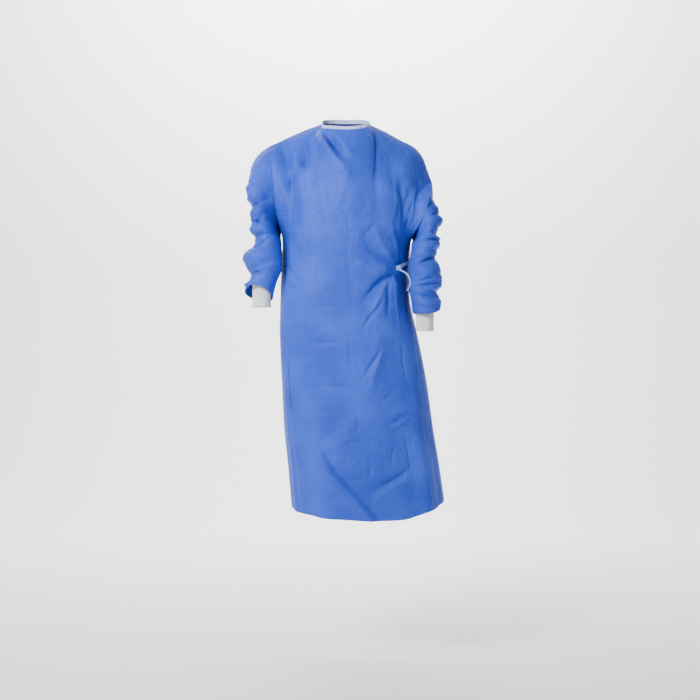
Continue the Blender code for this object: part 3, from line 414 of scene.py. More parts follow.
def crease_push(creases, x, drop):
    """The sum of all creases at each place."""
    total = np.zeros_like(x)
    for near, far, *points in creases:
        points = metres(points)
        best = np.full_like(x, np.inf)
        height = np.zeros_like(x)
        side = np.zeros_like(x)
        for (x0, d0, h0), (x1, d1, h1) in zip(points[:-1], points[1:], strict=True):
            run_x, run_d = x1 - x0, d1 - d0
            length = run_x**2 + run_d**2
            t = np.clip(((x - x0) * run_x + (drop - d0) * run_d) / length, 0, 1)
            off_x, off_d = x - x0 - t * run_x, drop - d0 - t * run_d
            away = np.hypot(off_x, off_d)
            closer = away < best
            best = np.where(closer, away, best)
            height = np.where(closer, h0 + (h1 - h0) * t, height)
            side = np.where(closer, run_x * off_d - run_d * off_x, side)
        width = np.where(side > 0, near, far) / 1000
        total += CREASE_DEPTH * height * np.exp(-rounded(best, CREASE_TOP) / width)
    return total


print(len(FRONT_CREASES), "creases on the front and", len(BACK_CREASES), "on the back")

# %% [markdown]
# Now the panels themselves. A panel hangs from its seam: a soft curve takes the cloth from the top
# edge to the chest, and below that it follows the sections down to the hem. The whole panel is one
# array of places, row by row, so that folds and creases are added to all of it at once.

# %% Places of the front and of the back
UPPER_ROWS, SKIRT_ROWS = 90, 188
PANEL_PULLS = (0.36, 0.40)
SIDEWAYS_EASE = 0.85
COLUMN_CROWDING = 0.35
FACING = (0.030, 0.080)
SEAM_FADE = 0.22
SHOULDER_TILT = 0.8


def column_angle(front, drop, column):
    sections = read_curve(SECTIONS, drop)
    right, left = sections[..., 5], sections[..., 6]
    if front:
        return right + (left - right) * column / STEPS
    w = 2 * column / STEPS - 1
    w = w * (1 + COLUMN_CROWDING * (1 - w * w))
    return (left - 360 + right) / 2 + (right - left + 360) / 2 * w


def pressed(front, points, out, degrees, edge_fade):
    """Points moved out or in by the folds, waves and creases."""
    x, drop = points[..., 0], -points[..., 2]
    toward = -points[..., 1] if front else points[..., 1]
    facing = ramp(*FACING, toward)
    push = fold_push(FRONT_FOLDS if front else BACK_FOLDS, x, drop) * facing * edge_fade
    push += wave_push(degrees, drop)
    push += crease_push(FRONT_CREASES if front else BACK_CREASES, x, drop) * facing * edge_fade
    return points + out * push[..., None]


def panel_places(front):
    seam = front_top if front else back_top
    column = np.linspace(0, STEPS, len(seam))
    top, leaving = seam[:, :3], unit(seam[:, 3:])
    at_chest = column_angle(front, np.full(len(seam), CHEST_DROP), column)
    chest, out = on_section(np.full(len(seam), CHEST_DROP), at_chest)
    reach = np.linalg.norm(chest - top, axis=1)[:, None]
    pull = PANEL_PULLS[0] * (1 - SIDEWAYS_EASE * np.abs(leaving[:, :1]))
    handle_low = chest + reach * PANEL_PULLS[1] * np.array([0, 0, 1.0])
    t = (np.arange(UPPER_ROWS) / UPPER_ROWS)[:, None, None]
    upper = (
        (1 - t) ** 3 * top + 3 * t * (1 - t) ** 2 * (top + leaving * reach * pull)
        + 3 * t * t * (1 - t) * handle_low + t**3 * chest
    )
    away = unit(out + np.array([0, 0, SHOULDER_TILT]) * (1 - t))
    degrees = np.broadcast_to(at_chest, upper.shape[:2])
    upper = pressed(front, upper, away, degrees, ramp(0, SEAM_FADE, t[..., 0]))
    step = np.linspace(0, 1, SKIRT_ROWS + 1)[:, None]
    degrees = np.broadcast_to(at_chest, (SKIRT_ROWS + 1, len(seam)))
    for _ in range(3):
        drop = CHEST_DROP + (hem_drop(degrees) - CHEST_DROP) * step
        degrees = column_angle(front, drop, column[None, :])
    drop = CHEST_DROP + (hem_drop(degrees) - CHEST_DROP) * step
    skirt, out = on_section(drop, degrees)
    skirt = pressed(front, skirt, out, degrees, 1.0)
    return np.concatenate([upper, skirt])


front_places = panel_places(True)
back_places = panel_places(False)
print("front", front_places.shape, "back", back_places.shape)

# %% [markdown]
# At the back the gown wraps: the right back lies over the left one. The outer layer stands off the
# under one by a few millimetres, and comes down to nothing at the neck and the shoulder seam.

# %% The two backs of the wrap
OUTER_EDGE, UNDER_EDGE = 17, 23
WRAP_LIFT, WRAP_FADE, WRAP_FADE_ROWS = 0.0048, 7, 5
ROWS_A_STEP = 10
WRAP_SIDEWAYS, WRAP_UPWARD, WRAP_TURN_DROP = 0.35, 0.35, 0.25


def lift_outer(places):
    rows, columns = places.shape[:2]
    column = np.linspace(0, STEPS, columns)[None, :]
    row = np.minimum(np.arange(rows), UPPER_ROWS)[:, None] / ROWS_A_STEP
    end = NECK_END + (UNDER_EDGE + WRAP_FADE - NECK_END) * ramp(0, WRAP_FADE_ROWS, row)
    lift = WRAP_LIFT * (1 - ramp(UNDER_EDGE, end, column))
    upward = WRAP_UPWARD * (1 - ramp(0, WRAP_TURN_DROP, -places[..., 2]))
    out = np.stack([places[..., 0] * WRAP_SIDEWAYS, np.ones_like(upward), upward], axis=-1)
    return places + unit(out) * lift[..., None]


under_places = back_places[:, : UNDER_EDGE * FINER + 1]
outer_places = lift_outer(back_places)[:, OUTER_EDGE * FINER :]
print("under layer", under_places.shape, "outer layer", outer_places.shape)

# %% [markdown]
# Each sheet becomes a mesh in the same way. A grid operator makes the faces and the flat layout for
# the pattern, and its points then go to their places. A thin Solidify gives it the two sides and the
# cut edge that real cloth has. The distance from the sewn edges is kept on the mesh, so that the
# material can draw the seam where it is.

# %% From places to cloth
CLOTH_WALL = 0.0006


def edge_distance(places, sewn):
    """How far each place is from the nearest sewn edge, along the cloth."""
    across = np.linalg.norm(np.diff(places, axis=1), axis=2)
    down = np.linalg.norm(np.diff(places, axis=0), axis=2)
    from_left = np.concatenate([np.zeros((len(places), 1)), np.cumsum(across, axis=1)], axis=1)
    from_top = np.concatenate([np.zeros((1, places.shape[1])), np.cumsum(down, axis=0)])
    ways = {
        "left": from_left, "right": from_left[:, -1:] - from_left,
        "top": from_top, "bottom": from_top[-1:] - from_top,
    }
    return np.min([ways[name] for name in sewn], axis=0)


def cloth_from(name, places, material, tube=False, wall=CLOTH_WALL, sewn=("top",), offset=0.0):
    rows, columns = places.shape[:2]
    sheet = bmesh.new()
    uv = sheet.loops.layers.uv.new("UVMap")
    bmesh.ops.create_grid(
        sheet, x_segments=columns - 1, y_segments=rows - 1, size=1.0, calc_uvs=True
    )
    seam = sheet.verts.layers.float.new("from_seam")
    hem = sheet.verts.layers.float.new("from_hem")
    seam_far = edge_distance(places, sewn) if sewn else np.full((rows, columns), 1.0)
    hem_far = edge_distance(places, ("bottom",))
    width = np.linalg.norm(np.diff(places, axis=1), axis=2).sum(axis=1).max()
    length = np.linalg.norm(np.diff(places, axis=0), axis=2).sum(axis=0).max()
    for face in sheet.faces:
        face.smooth = True
        for corner in face.loops:
            at = corner.vert.co
            corner[uv].uv = ((at.x + 1) / 2 * width, (at.y + 1) / 2 * length)
    for vert in sheet.verts:
        column = round((vert.co.x + 1) / 2 * (columns - 1))
        row = rows - 1 - round((vert.co.y + 1) / 2 * (rows - 1))
        vert.co = places[row, column]
        vert[seam] = seam_far[row, column]
        vert[hem] = hem_far[row, column]
    if tube:
        bmesh.ops.remove_doubles(sheet, verts=sheet.verts, dist=1e-6)
    mesh = bpy.data.meshes.new(name)
    sheet.to_mesh(mesh)
    sheet.free()
    mesh.materials.append(material)
    piece = bpy.data.objects.new(name, mesh)
    bpy.context.scene.collection.objects.link(piece)
    if wall:
        solid = piece.modifiers.new("wall", "SOLIDIFY")
        solid.thickness = wall
        solid.offset = offset
    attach(piece, "root")
    area = sum(polygon.area for polygon in mesh.polygons)
    print(f"{name}: {len(mesh.polygons)} faces, {area:.3f} sq m, {width:.2f} x {length:.2f} m")
    return piece


def stands_for(node):
    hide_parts(node)


# %% [markdown]
# The gown's cloth is a nonwoven: fine fibres pressed together with a small pattern of bonding dots.
# It is matt with a soft papery sheen. Colour and roughness change a little from place to place, faint
# packing creases run in straight facets, and the fibres and dots are a fine relief. All of it reads
# the object's own coordinates, so the pattern stays on the cloth from every side.

# %% Helpers for materials


def feed(tree, socket, value):
    """Gives a socket a value, or a link where the value is another node's output."""
    if hasattr(value, "is_output"):
        tree.links.new(value, socket)
    else:
        socket.default_value = value


def add_node(tree, kind, settings=None, **inputs):
    node = tree.nodes.new(kind)
    for key, value in (settings or {}).items():
        setattr(node, key, value)
    for key, value in inputs.items():
        feed(tree, node.inputs[key.replace("_", " ")], value)
    return node


def new_material(name, colour, roughness, **levels):
    material = bpy.data.materials.new(name)
    material.use_nodes = True
    shader = material.node_tree.nodes["Principled BSDF"]
    shader.inputs["Base Color"].default_value = (*colour, 1)
    shader.inputs["Roughness"].default_value = roughness
    for key, value in levels.items():
        shader.inputs[key.replace("_", " ")].default_value = value
    return material, material.node_tree, shader


def noise(tree, place, scale, detail, **more):
    return add_node(
        tree, "ShaderNodeTexNoise", Vector=place, Scale=scale, Detail=detail, **more
    ).outputs[0]


def cells(tree, place, scale, feature="F1"):
    return add_node(
        tree, "ShaderNodeTexVoronoi", {"feature": feature}, Vector=place, Scale=scale
    ).outputs[0]


def maths(tree, operation, first, second=0.5):
    node = tree.nodes.new("ShaderNodeMath")
    node.operation = operation
    feed(tree, node.inputs[0], first)
    feed(tree, node.inputs[1], second)
    return node.outputs[0]


def moved_place(tree, operation, place, *vectors):
    node = add_node(tree, "ShaderNodeVectorMath", {"operation": operation})
    for socket, value in zip(node.inputs, (place, *vectors), strict=False):
        feed(tree, socket, value)
    return node.outputs[0]


def remap(tree, value, low, high, out_low=0.0, out_high=1.0):
    return add_node(
        tree, "ShaderNodeMapRange", {"interpolation_type": "SMOOTHSTEP"}, Value=value,
        From_Min=low, From_Max=high, To_Min=out_low, To_Max=out_high,
    ).outputs["Result"]


def mixed(tree, share, first, second):
    node = add_node(tree, "ShaderNodeMix", {"data_type": "RGBA"})
    feed(tree, node.inputs[0], share)
    for socket, colour in ((node.inputs[6], first), (node.inputs[7], second)):
        feed(tree, socket, (*colour, 1) if isinstance(colour, tuple) else colour)
    return node.outputs[2]


def relief(tree, height, distance, strength=1.0, under=None):
    below = {} if under is None else {"Normal": under}
    return add_node(
        tree, "ShaderNodeBump", Strength=strength, Distance=distance, Height=height, **below
    ).outputs["Normal"]


print("helpers ready")

# %% [markdown]
# The colours are four blues: the cloth itself, its denser patches, the pale fibres and worn lines,
# and a dark blue that is painted shade for the hollows, where little light gets in. An ambient
# occlusion node finds the hollows and mixes this painted shade into the colour there, so that folds
# stay readable under soft light. Bumps are stacked from large to small.

# %% The nonwoven cloth
GOWN_BLUE = (0.034, 0.094, 0.620)
GOWN_DEEP = (0.022, 0.066, 0.500)
GOWN_PALE = (0.110, 0.215, 0.760)
# Painted shade: the dark blue that is mixed into the cloth's colour in the hollows that ambient
# occlusion finds.
GOWN_PAINTED_SHADE = (0.010, 0.032, 0.270)


CRUMPLES = (
    (11.0, (0, 0, 0), 0.0013), (19.0, (3.1, 1.7, 0.4), 0.0009), (31.0, (5.3, 2.9, 7.7), 0.0006),
)
PAINTED_SHADE_REACH = 0.035
SEAM_ALLOWANCE, HEM_TURN = (0.0065, 0.0080), (0.0185, 0.0200)


def nonwoven(name, blue, deep, pale):
    material, tree, shader = new_material(
        name, blue, 0.58, Sheen_Weight=0.03, Sheen_Roughness=0.45,
        Sheen_Tint=(0.55, 0.70, 1.0, 1), Specular_IOR_Level=0.16,
    )
    place = add_node(tree, "ShaderNodeTexCoord").outputs["Object"]
    clouds = noise(tree, place, 7.0, 3.0)
    fibres = noise(tree, place, 520.0, 3.0, Roughness=0.7)
    dots = cells(tree, place, 640.0)
    sway = add_node(tree, "ShaderNodeTexNoise", Vector=place, Scale=5.0, Detail=1.0).outputs[1]
    bent = moved_place(tree, "MULTIPLY_ADD", sway, (0.06, 0.06, 0.06), place)
    facets = cells(tree, bent, 15.0, "DISTANCE_TO_EDGE")
    dents = noise(tree, bent, 34.0, 2.0)
    seam, hem = (
        add_node(tree, "ShaderNodeAttribute", {"attribute_name": layer}).outputs["Fac"]
        for layer in ("from_seam", "from_hem")
    )

    colour = mixed(tree, remap(tree, clouds, 0.35, 0.68), deep, blue)
    colour = mixed(tree, remap(tree, fibres, 0.50, 0.80, 0.0, 0.30), colour, pale)
    colour = mixed(tree, remap(tree, facets, 0.0, 0.045, 0.03, 0.0), colour, pale)
    colour = mixed(tree, remap(tree, seam, 0.0008, 0.0022, 0.45, 0.0), colour, pale)
    # Painted shade: the base colour is darkened towards the dark blue where the ambient occlusion
    # finds a hollow.
    painted_shade = add_node(
        tree, "ShaderNodeAmbientOcclusion", {"samples": 6}, Distance=PAINTED_SHADE_REACH
    ).outputs["AO"]
    colour = mixed(tree, remap(tree, painted_shade, 0.25, 0.95), GOWN_PAINTED_SHADE, colour)
    feed(tree, shader.inputs["Base Color"], colour)
    feed(tree, shader.inputs["Roughness"], remap(tree, fibres, 0.3, 0.7, 0.50, 0.64))

    normal = relief(tree, remap(tree, facets, 0.0, 0.10), 0.0010, 0.12)
    normal = relief(tree, dents, 0.0040, 0.30, normal)
    for scale, shift, depth in CRUMPLES:
        slow = noise(tree, moved_place(tree, "ADD", bent, shift), scale, 1.0, Distortion=0.4)
        ridge = maths(tree, "ABSOLUTE", maths(tree, "SUBTRACT", slow))
        normal = relief(tree, remap(tree, ridge, 0.0, 0.07), depth, 0.45, normal)
    doubled = maths(
        tree, "MAXIMUM", remap(tree, seam, *SEAM_ALLOWANCE, 1.0, 0.0),
        remap(tree, hem, *HEM_TURN, 1.0, 0.0),
    )
    normal = relief(tree, doubled, 0.0006, 0.6, normal)
    normal = relief(tree, dots, 0.00010, 0.35, normal)
    normal = relief(tree, fibres, 0.00012, 0.40, normal)
    feed(tree, shader.inputs["Normal"], normal)
    return material


gown_cloth = nonwoven("gown_cloth_nonwoven", GOWN_BLUE, GOWN_DEEP, GOWN_PALE)
print("nonwoven cloth:", len(gown_cloth.node_tree.nodes), "nodes")

# %% [markdown]
# The front is one wide piece, and the two backs are narrower. Each is made as a sheet from its places,
# and the size of its flat cut is listed beside it.

# %% The front and the backs
front_panel = cloth_from("front_panel_cloth", front_places, gown_cloth, sewn=("top", "left", "right"))
back_left = cloth_from("back_left_cloth", under_places, gown_cloth, sewn=("top", "left"))
back_right = cloth_from("back_right_cloth", outer_places, gown_cloth, sewn=("top", "right"))
for piece, node, flat, area in (
    (front_panel, "front_panel", (0.56, 1.19), 0.556),
    (back_left, "back_panel_left", (0.58, 1.19), 0.517),
    (back_right, "back_panel_right", (0.58, 1.20), 0.518),
):
    stands_for(node)

# %% [markdown]
# A sleeve is a tube that starts at the armhole seam and ends in a short turn over the cuff. Worn
# sleeves are too long, so they push up into soft rings and tucks. The rings are a table of creases
# again, but on a tube each one also says which way it faces.

# %% Sizes of the sleeves
ARM_START = 0.385
CAP_ROWS, ARM_ROWS, FINER_ROUND = 80, 60, 6
CAP_PULLS, CAP_FADE = (0.42, 0.40), 0.15
# The turn of the lower edge, in millimetres: inward and up from the edge, then out of the cuff's
# throat and up from it.
EDGE_TURN = ((1, -0.8), (3, 1.2), (3.6, 8))
THROAT_TURN = ((7, -3), (3, 0.5), (0.6, 0))
# The way out of the armhole: sideways and upright, inner and outer side; lengthways, front and back.
RIGHT_CAP = (0.30, 1.20, -0.90, -0.45, 0.35, 0.35)
LEFT_CAP = (0.36, 0.06, -0.90, -1.00, -0.10, 0.35)
RIGHT_ARM = (
    (0.385, -0.274, -0.1865, -0.064, 0.06), (0.403, -0.295, -0.185, -0.072, 0.06),
    (0.417, -0.3005, -0.184, -0.076, 0.061), (0.441, -0.2925, -0.184, -0.077, 0.058),
    (0.479, -0.2775, -0.2005, -0.073, 0.048), (0.497, -0.284, -0.2055, -0.073, 0.045),
    (0.513, -0.2965, -0.2095, -0.073, 0.048), (0.524, -0.295, -0.2115, -0.073, 0.046),
)
LEFT_ARM = (
    (0.385, 0.28, 0.196, -0.062, 0.06), (0.412, 0.269, 0.19, -0.072, 0.056),
    (0.441, 0.2785, 0.187, -0.079, 0.06), (0.48, 0.2855, 0.186, -0.084, 0.058),
    (0.505, 0.282, 0.187, -0.09, 0.054), (0.517, 0.268, 0.189, -0.092, 0.048),
    (0.535, 0.276, 0.192, -0.095, 0.047), (0.552, 0.281, 0.1945, -0.098, 0.048),
    (0.575, 0.279, 0.1975, -0.1, 0.046),
)
# The drops of the lower edge on the inner, front, outer and back side, and of the throat in it.
RIGHT_END = (0.529, 0.4945, 0.513, 0.536, 0.484)
LEFT_END = (0.575, 0.5785, 0.5665, 0.580, 0.555)
RIGHT_CUFF = (-0.2445, -0.074, 0.0270, 0.0310)
LEFT_CUFF = (0.2335, -0.101, 0.0255, 0.0310)
# Soft rings, in millimetres and degrees: drop, slope, height, width, the way it faces, its spread.
RIGHT_CREASES = (
    (150, 0.2, -5, 13, 215, 60), (205, 0, 8, 16, 205, 70), (238, 0.3, -10, 12, 215, 75),
    (268, 0.5, 6, 13, 225, 60), (305, -0.2, -7, 12, 220, 70), (330, 0.1, 4, 12, 230, 60),
    (352, 0.2, -7, 12, 225, 75), (372, 0, -6, 10, 190, 70), (432, 0.3, -5, 10, 265, 50),
    (190, -0.2, -8, 14, 110, 60), (225, 0.1, 7, 14, 100, 60), (262, 0.2, -8, 13, 115, 60),
    (312, -0.2, 7, 14, 95, 60), (345, 0.1, -7, 13, 110, 60), (398, 0.1, 6, 14, 90, 60),
    (430, -0.1, -7, 12, 80, 60),
)
LEFT_CREASES = (
    (238, -0.2, -9, 13, 325, 55), (258, 0, 15, 14, 0, 65), (296, 0, 21.5, 24, 0, 65),
    (300, 0.2, -4, 11, 320, 40), (342, 0, -10, 12, 325, 60), (368, 0.1, 5, 12, 315, 50),
    (408, 0.1, -7, 12, 300, 70), (455, 0.2, 4, 15, 275, 50), (490, -0.3, -4, 11, 285, 50),
    (240, 0.2, -8, 14, 60, 60), (280, -0.1, 7, 14, 75, 60), (320, 0.2, -8, 13, 65, 60),
    (365, 0, 7, 14, 80, 60), (400, -0.2, -8, 13, 70, 60), (445, 0.1, 6, 14, 90, 60),
    (478, 0.1, -6, 12, 85, 60),
)
# Sharper tucks: drop, slope, height, width above, width below, the way it faces, its spread.
RIGHT_TUCKS = (
    (198, -0.1, -3, 3, 6, 225, 40), (243, 0.35, -5, 3, 7, 220, 60), (232, 0.15, 3, 4, 3, 210, 45),
    (283, 0.9, -3.5, 3, 5, 245, 35), (312, -0.1, -4, 3, 5, 215, 50), (300, 0.1, 2.5, 4, 3, 240, 40),
    (347, 0.1, -4.5, 3, 5, 215, 55), (366, 0.6, -3, 3, 5, 255, 35), (338, -0.2, 2.5, 4, 3, 200, 40),
    (398, -0.2, 2, 5, 4, 205, 50), (452, 0.2, -3, 3, 5, 215, 50), (470, -0.5, -2.5, 3, 4, 250, 30),
    (488, 0.2, -2.5, 3, 5, 205, 50), (505, -0.2, 2.2, 3, 3, 215, 45), (180, 0.2, -3, 3, 6, 120, 50),
    (215, -0.2, -4, 3, 6, 100, 60), (258, 0.2, -4.5, 3, 6, 125, 55), (300, -0.1, -4, 3, 6, 90, 55),
    (338, 0.2, -4.5, 3, 6, 110, 60), (375, -0.2, -3, 3, 6, 75, 50), (412, 0.2, -4, 3, 6, 100, 55),
    (455, -0.1, -3.5, 3, 5, 90, 50), (490, 0.1, -3, 3, 5, 110, 50), (160, 0.1, 2.5, 4, 3, 150, 40),
    (285, 0.1, 2.5, 4, 3, 70, 40), (392, 0.1, 2.5, 4, 3, 140, 40),
)
LEFT_TUCKS = (
    (262, -0.5, -4, 3, 6, 300, 40), (244, -0.1, 3, 4, 3, 335, 40),
    (290, -0.25, -3.5, 3, 5, 330, 45), (318, 0.1, -3, 3, 5, 340, 40), (362, 0, -5, 3, 6, 300, 55),
    (352, 0.1, 3, 4, 3, 335, 45), (392, -0.1, -3.5, 3, 5, 335, 45),
    (422, -0.5, -5.5, 3, 7, 290, 60), (414, -0.2, 3.5, 5, 3, 300, 55),
    (452, 0.2, -2.5, 3, 5, 340, 40), (478, -0.3, -3, 3, 5, 280, 35),
    (496, -0.15, -4, 3, 6, 285, 60), (486, -0.3, 2.5, 4, 3, 285, 50), (528, 0.1, -4, 3, 5, 290, 55),
    (545, -0.1, 2, 4, 3, 320, 40), (560, 0.1, -2.5, 3, 4, 275, 45), (250, 0.1, -4, 3, 6, 65, 50),
    (292, -0.2, -4, 3, 6, 50, 50), (335, 0.2, -4.5, 3, 6, 70, 55), (378, -0.1, -4, 3, 6, 60, 55),
    (418, 0.1, -4.5, 3, 6, 85, 60), (458, -0.2, -3.5, 3, 6, 70, 55), (492, 0.1, -3.5, 3, 5, 95, 50),
    (525, -0.1, -3, 3, 5, 80, 50), (555, 0.1, -2.5, 3, 5, 70, 50), (268, 0.1, 2.5, 4, 3, 30, 35),
    (400, 0.1, 2.5, 4, 3, 20, 35), (512, -0.1, 2.5, 4, 3, 30, 40),
)
print(len(RIGHT_CREASES) + len(LEFT_CREASES), "rings,", len(RIGHT_TUCKS) + len(LEFT_TUCKS), "tucks")

# %% [markdown]
# Below the armhole each sleeve follows level ovals down the arm. Rings and tucks push its places out
# or in, and each fades away round the tube, so that no fold closes into an even hoop.

# %% The form of a sleeve
TUCK_DEPTH, TUCK_TOP, GATHER_START = 2.2, 0.0015, (0.10, 0.15)


def arm_section(arm, drop, degrees):
    _, outer, inner, middle_y, reach_y = np.moveaxis(read_curve(arm, drop), -1, 0)
    angle = np.radians(degrees)
    x = (outer + inner) / 2 + np.abs(outer - inner) / 2 * np.cos(angle)
    return x, middle_y + reach_y * np.sin(angle)


def end_drop(end, left, degrees):
    inner, front, outer, back, _ = end
    angle = np.radians(degrees - (180 if left else 0))
    level = (inner + front + outer + back) / 4
    sideways = (inner - outer) / 2 * np.cos(angle)
    lengthways = (back - front) / 2 * np.sin(np.radians(degrees))
    return level + sideways + lengthways + (inner + outer - front - back) / 4 * np.cos(2 * angle)


def ringed(points, degrees, middle, rings, tucks):
    """Points of a sleeve moved out or in by its rings and tucks."""
    out = unit((points - middle) * np.array([1, 1, 0]))
    drop, across = -points[..., 2], np.abs(points[..., 0]) - abs(middle[0])
    push = np.zeros_like(drop)

    def round_tube(facing, spread):
        return (((degrees - facing + 180) % 360 - 180) / spread) ** 2

    for at, slope, height, width, facing, spread in metres(rings, 0, 2, 3):
        off = drop - at - slope * across
        push += height * np.exp(-((off / width) ** 2) - round_tube(facing, spread))
    for at, slope, height, above, below, facing, spread in metres(tucks, 0, 2, 3, 4):
        off = drop - at - slope * across
        sharp = rounded(off, TUCK_TOP) / np.where(off < 0, above, below)
        push += TUCK_DEPTH * height * np.exp(-sharp - round_tube(facing, spread))
    return points + out * (push * ramp(*GATHER_START, drop))[..., None]


def sleeve_places(left):
    arm, end, cuff = (LEFT_ARM, LEFT_END, LEFT_CUFF) if left else (RIGHT_ARM, RIGHT_END, RIGHT_CUFF)
    rings, tucks = (LEFT_CREASES, LEFT_TUCKS) if left else (RIGHT_CREASES, RIGHT_TUCKS)
    halves = (RIGHT_ARMHOLE_BACK, RIGHT_ARMHOLE_FRONT)
    if left:
        halves = (LEFT_ARMHOLE_FRONT, LEFT_ARMHOLE_BACK)
    start = seam_run(*(along(half, ARMHOLE_STEPS * FINER_ROUND)[::-1, :3] for half in halves))
    side = 1 if left else -1
    degrees = (180 if left else 0) + np.linspace(0, 360, len(start))
    angle = np.radians(degrees)
    middle = np.array([(arm[0][1] + arm[0][2]) / 2, arm[0][3], 0])
    level = np.full(len(start), ARM_START)
    foot = np.stack([*arm_section(arm, level, degrees), -level], axis=-1)
    outer = (1 + side * np.cos(angle)) / 2
    in_side, out_side, in_up, out_up, front, back = LEFT_CAP if left else RIGHT_CAP
    leaving = unit(np.stack([
        side * (in_side + (out_side - in_side) * outer),
        np.where(np.sin(angle) < 0, front, back) * np.sin(angle),
        in_up + (out_up - in_up) * outer,
    ], axis=-1))
    reach = np.linalg.norm(foot - start, axis=1)[:, None]
    low_handle = foot + reach * CAP_PULLS[1] * np.array([0, 0, 1.0])
    t = (np.arange(CAP_ROWS) / CAP_ROWS)[:, None, None]
    cap = (
        (1 - t) ** 3 * start + 3 * t * (1 - t) ** 2 * (start + leaving * reach * CAP_PULLS[0])
        + 3 * t * t * (1 - t) * low_handle + t**3 * foot
    )
    moved = ringed(cap, degrees, middle, rings, tucks)
    cap = cap + (moved - cap) * ramp(0, CAP_FADE, t)
    lowest = end_drop(end, left, degrees)
    t = np.linspace(0, 1, ARM_ROWS + 1)[:, None]
    x, y = arm_section(arm, ARM_START + (arm[-1][0] - ARM_START) * t + 0 * degrees, degrees)
    lower = np.stack([x, y, -(ARM_START + (lowest - ARM_START) * t)], axis=-1)
    lower = ringed(lower, degrees, middle, rings, tucks)
    edge = lower[-1]
    hub = np.array([cuff[0], cuff[1], 0])
    inward = unit((hub - edge) * np.array([1, 1, 0]))
    around = np.stack([cuff[2] * np.cos(angle), cuff[3] * np.sin(angle), 0 * angle], axis=-1)
    throat = hub + np.array([0, 0, -end[4]]) + around
    up = np.array([0, 0, 1])
    turn = [edge + inward * near + up * rise for near, rise in metres(EDGE_TURN)]
    turn += [throat + unit(around) * far + up * rise for far, rise in metres(THROAT_TURN)]
    return np.concatenate([cap, lower, turn])


for left, side, flat, area in (
    (True, "left", (0.38, 0.40), 0.120),
    (False, "right", (0.38, 0.48), 0.154),
):
    sleeve = cloth_from(
        f"sleeve_{side}_cloth", sleeve_places(left), gown_cloth, tube=True, sewn=("top",)
    )
    stands_for(f"sleeve_{side}")

# %% [markdown]
# The cuff is a knitted rib in white. Ribs are real ridges that run along the arm, so they are modelled
# and not painted: the grid has several columns for every rib. The knit is slightly slack, so the cuff
# narrows in the middle and its ribs wander a little.

# %% Knitted cuffs
KNIT_WHITE, KNIT_SHADE = (0.86, 0.87, 0.86), (0.74, 0.75, 0.75)
RIBS, RIB_COLUMNS, CUFF_ROWS = 54, 6, 34
CUFF_LENGTH, CUFF_TUCKED_IN, RIB_HEIGHT = 0.074, 0.006, 0.0006
STITCHES_A_METRE = 620
CUFF_WAIST, CUFF_SLACK = 0.06, 0.0012


def rib_knit(name):
    material, tree, shader = new_material(
        name, KNIT_WHITE, 0.85, Sheen_Weight=0.35, Specular_IOR_Level=0.2
    )
    flat = add_node(tree, "ShaderNodeTexCoord").outputs["UV"]
    parts = add_node(tree, "ShaderNodeSeparateXYZ", Vector=flat)
    loops, rows = (
        maths(tree, "SINE", maths(tree, "MULTIPLY", part, 2 * math.pi * STITCHES_A_METRE))
        for part in parts.outputs[:2]
    )
    stitches = maths(tree, "MULTIPLY", rows, loops)
    fuzz = noise(tree, flat, 900.0, 2.0)
    colour = mixed(tree, remap(tree, fuzz, 0.3, 0.7), KNIT_SHADE, KNIT_WHITE)
    feed(tree, shader.inputs["Base Color"], colour)
    normal = relief(tree, fuzz, 0.0002, 0.5, relief(tree, stitches, 0.0003, 0.6))
    feed(tree, shader.inputs["Normal"], normal)
    return material


def cuff_places(left):
    end, cuff = (LEFT_END, LEFT_CUFF) if left else (RIGHT_END, RIGHT_CUFF)
    columns = RIBS * RIB_COLUMNS
    turn = np.linspace(0, 2 * np.pi, columns + 1)
    down = np.linspace(-CUFF_TUCKED_IN, CUFF_LENGTH, CUFF_ROWS + 1)[:, None]
    middle = np.sin(np.pi * np.clip(down / CUFF_LENGTH, 0, 1))
    slim = 1 - CUFF_WAIST * middle
    wander = 0.05 * np.sin(3 * turn + 40 * down) + 0.03 * np.sin(7 * turn - 90 * down)
    uneven = RIB_HEIGHT * np.sin(RIBS * turn + 2 * wander)
    uneven = uneven + CUFF_SLACK * np.sin(2 * turn + 60 * down) * middle
    x = cuff[0] + (cuff[2] * slim + uneven) * np.cos(turn)
    y = cuff[1] + (cuff[3] * slim + uneven) * np.sin(turn)
    return np.stack([x, y, -end[4] - down + 0 * x], axis=-1)


knit = rib_knit("cuff_rib_knit")
for left, side in ((True, "left"), (False, "right")):
    cuff = cloth_from(
        f"cuff_{side}_knit", cuff_places(left), knit, tube=True, wall=0.0010, sewn=("top",)
    )
    stands_for(f"cuff_{side}")

# %% [markdown]
# The neck is bound with a narrow pale strip, folded over the raw edge of the panels and sewn through
# once. Its section is a small hairpin: up the inside, over the edge and down the outside. One strip
# runs from the free edge of the outer back, round the front, to the free edge of the under back.

# %% Neck binding
PALE_BLUE, PALE_SHADE, FIBRE_WHITE = (0.56, 0.65, 0.95), (0.46, 0.56, 0.90), (0.85, 0.90, 1.0)
BINDING_RISE = 0.0085
BINDING_LEAN, PUCKER_FROM = 0.0020, 0.003
# In millimetres: height above the neck edge and distance out of it, from the inside to the outside.
BINDING_FOLD = (
    (-3, -1.2), (-2.4, -1.3), (-1.2, -1.2), (1.5, -1.2), (4.5, -1.3), (7.2, -1.2), (8.3, -0.6),
    (8.6, 0), (8.3, 0.7), (7.2, 1.4), (4.5, 1.6), (1.5, 1.4), (-0.6, 1.4), (-2.2, 1.5), (-3.4, 1.6),
    (-4, 1.1),
)


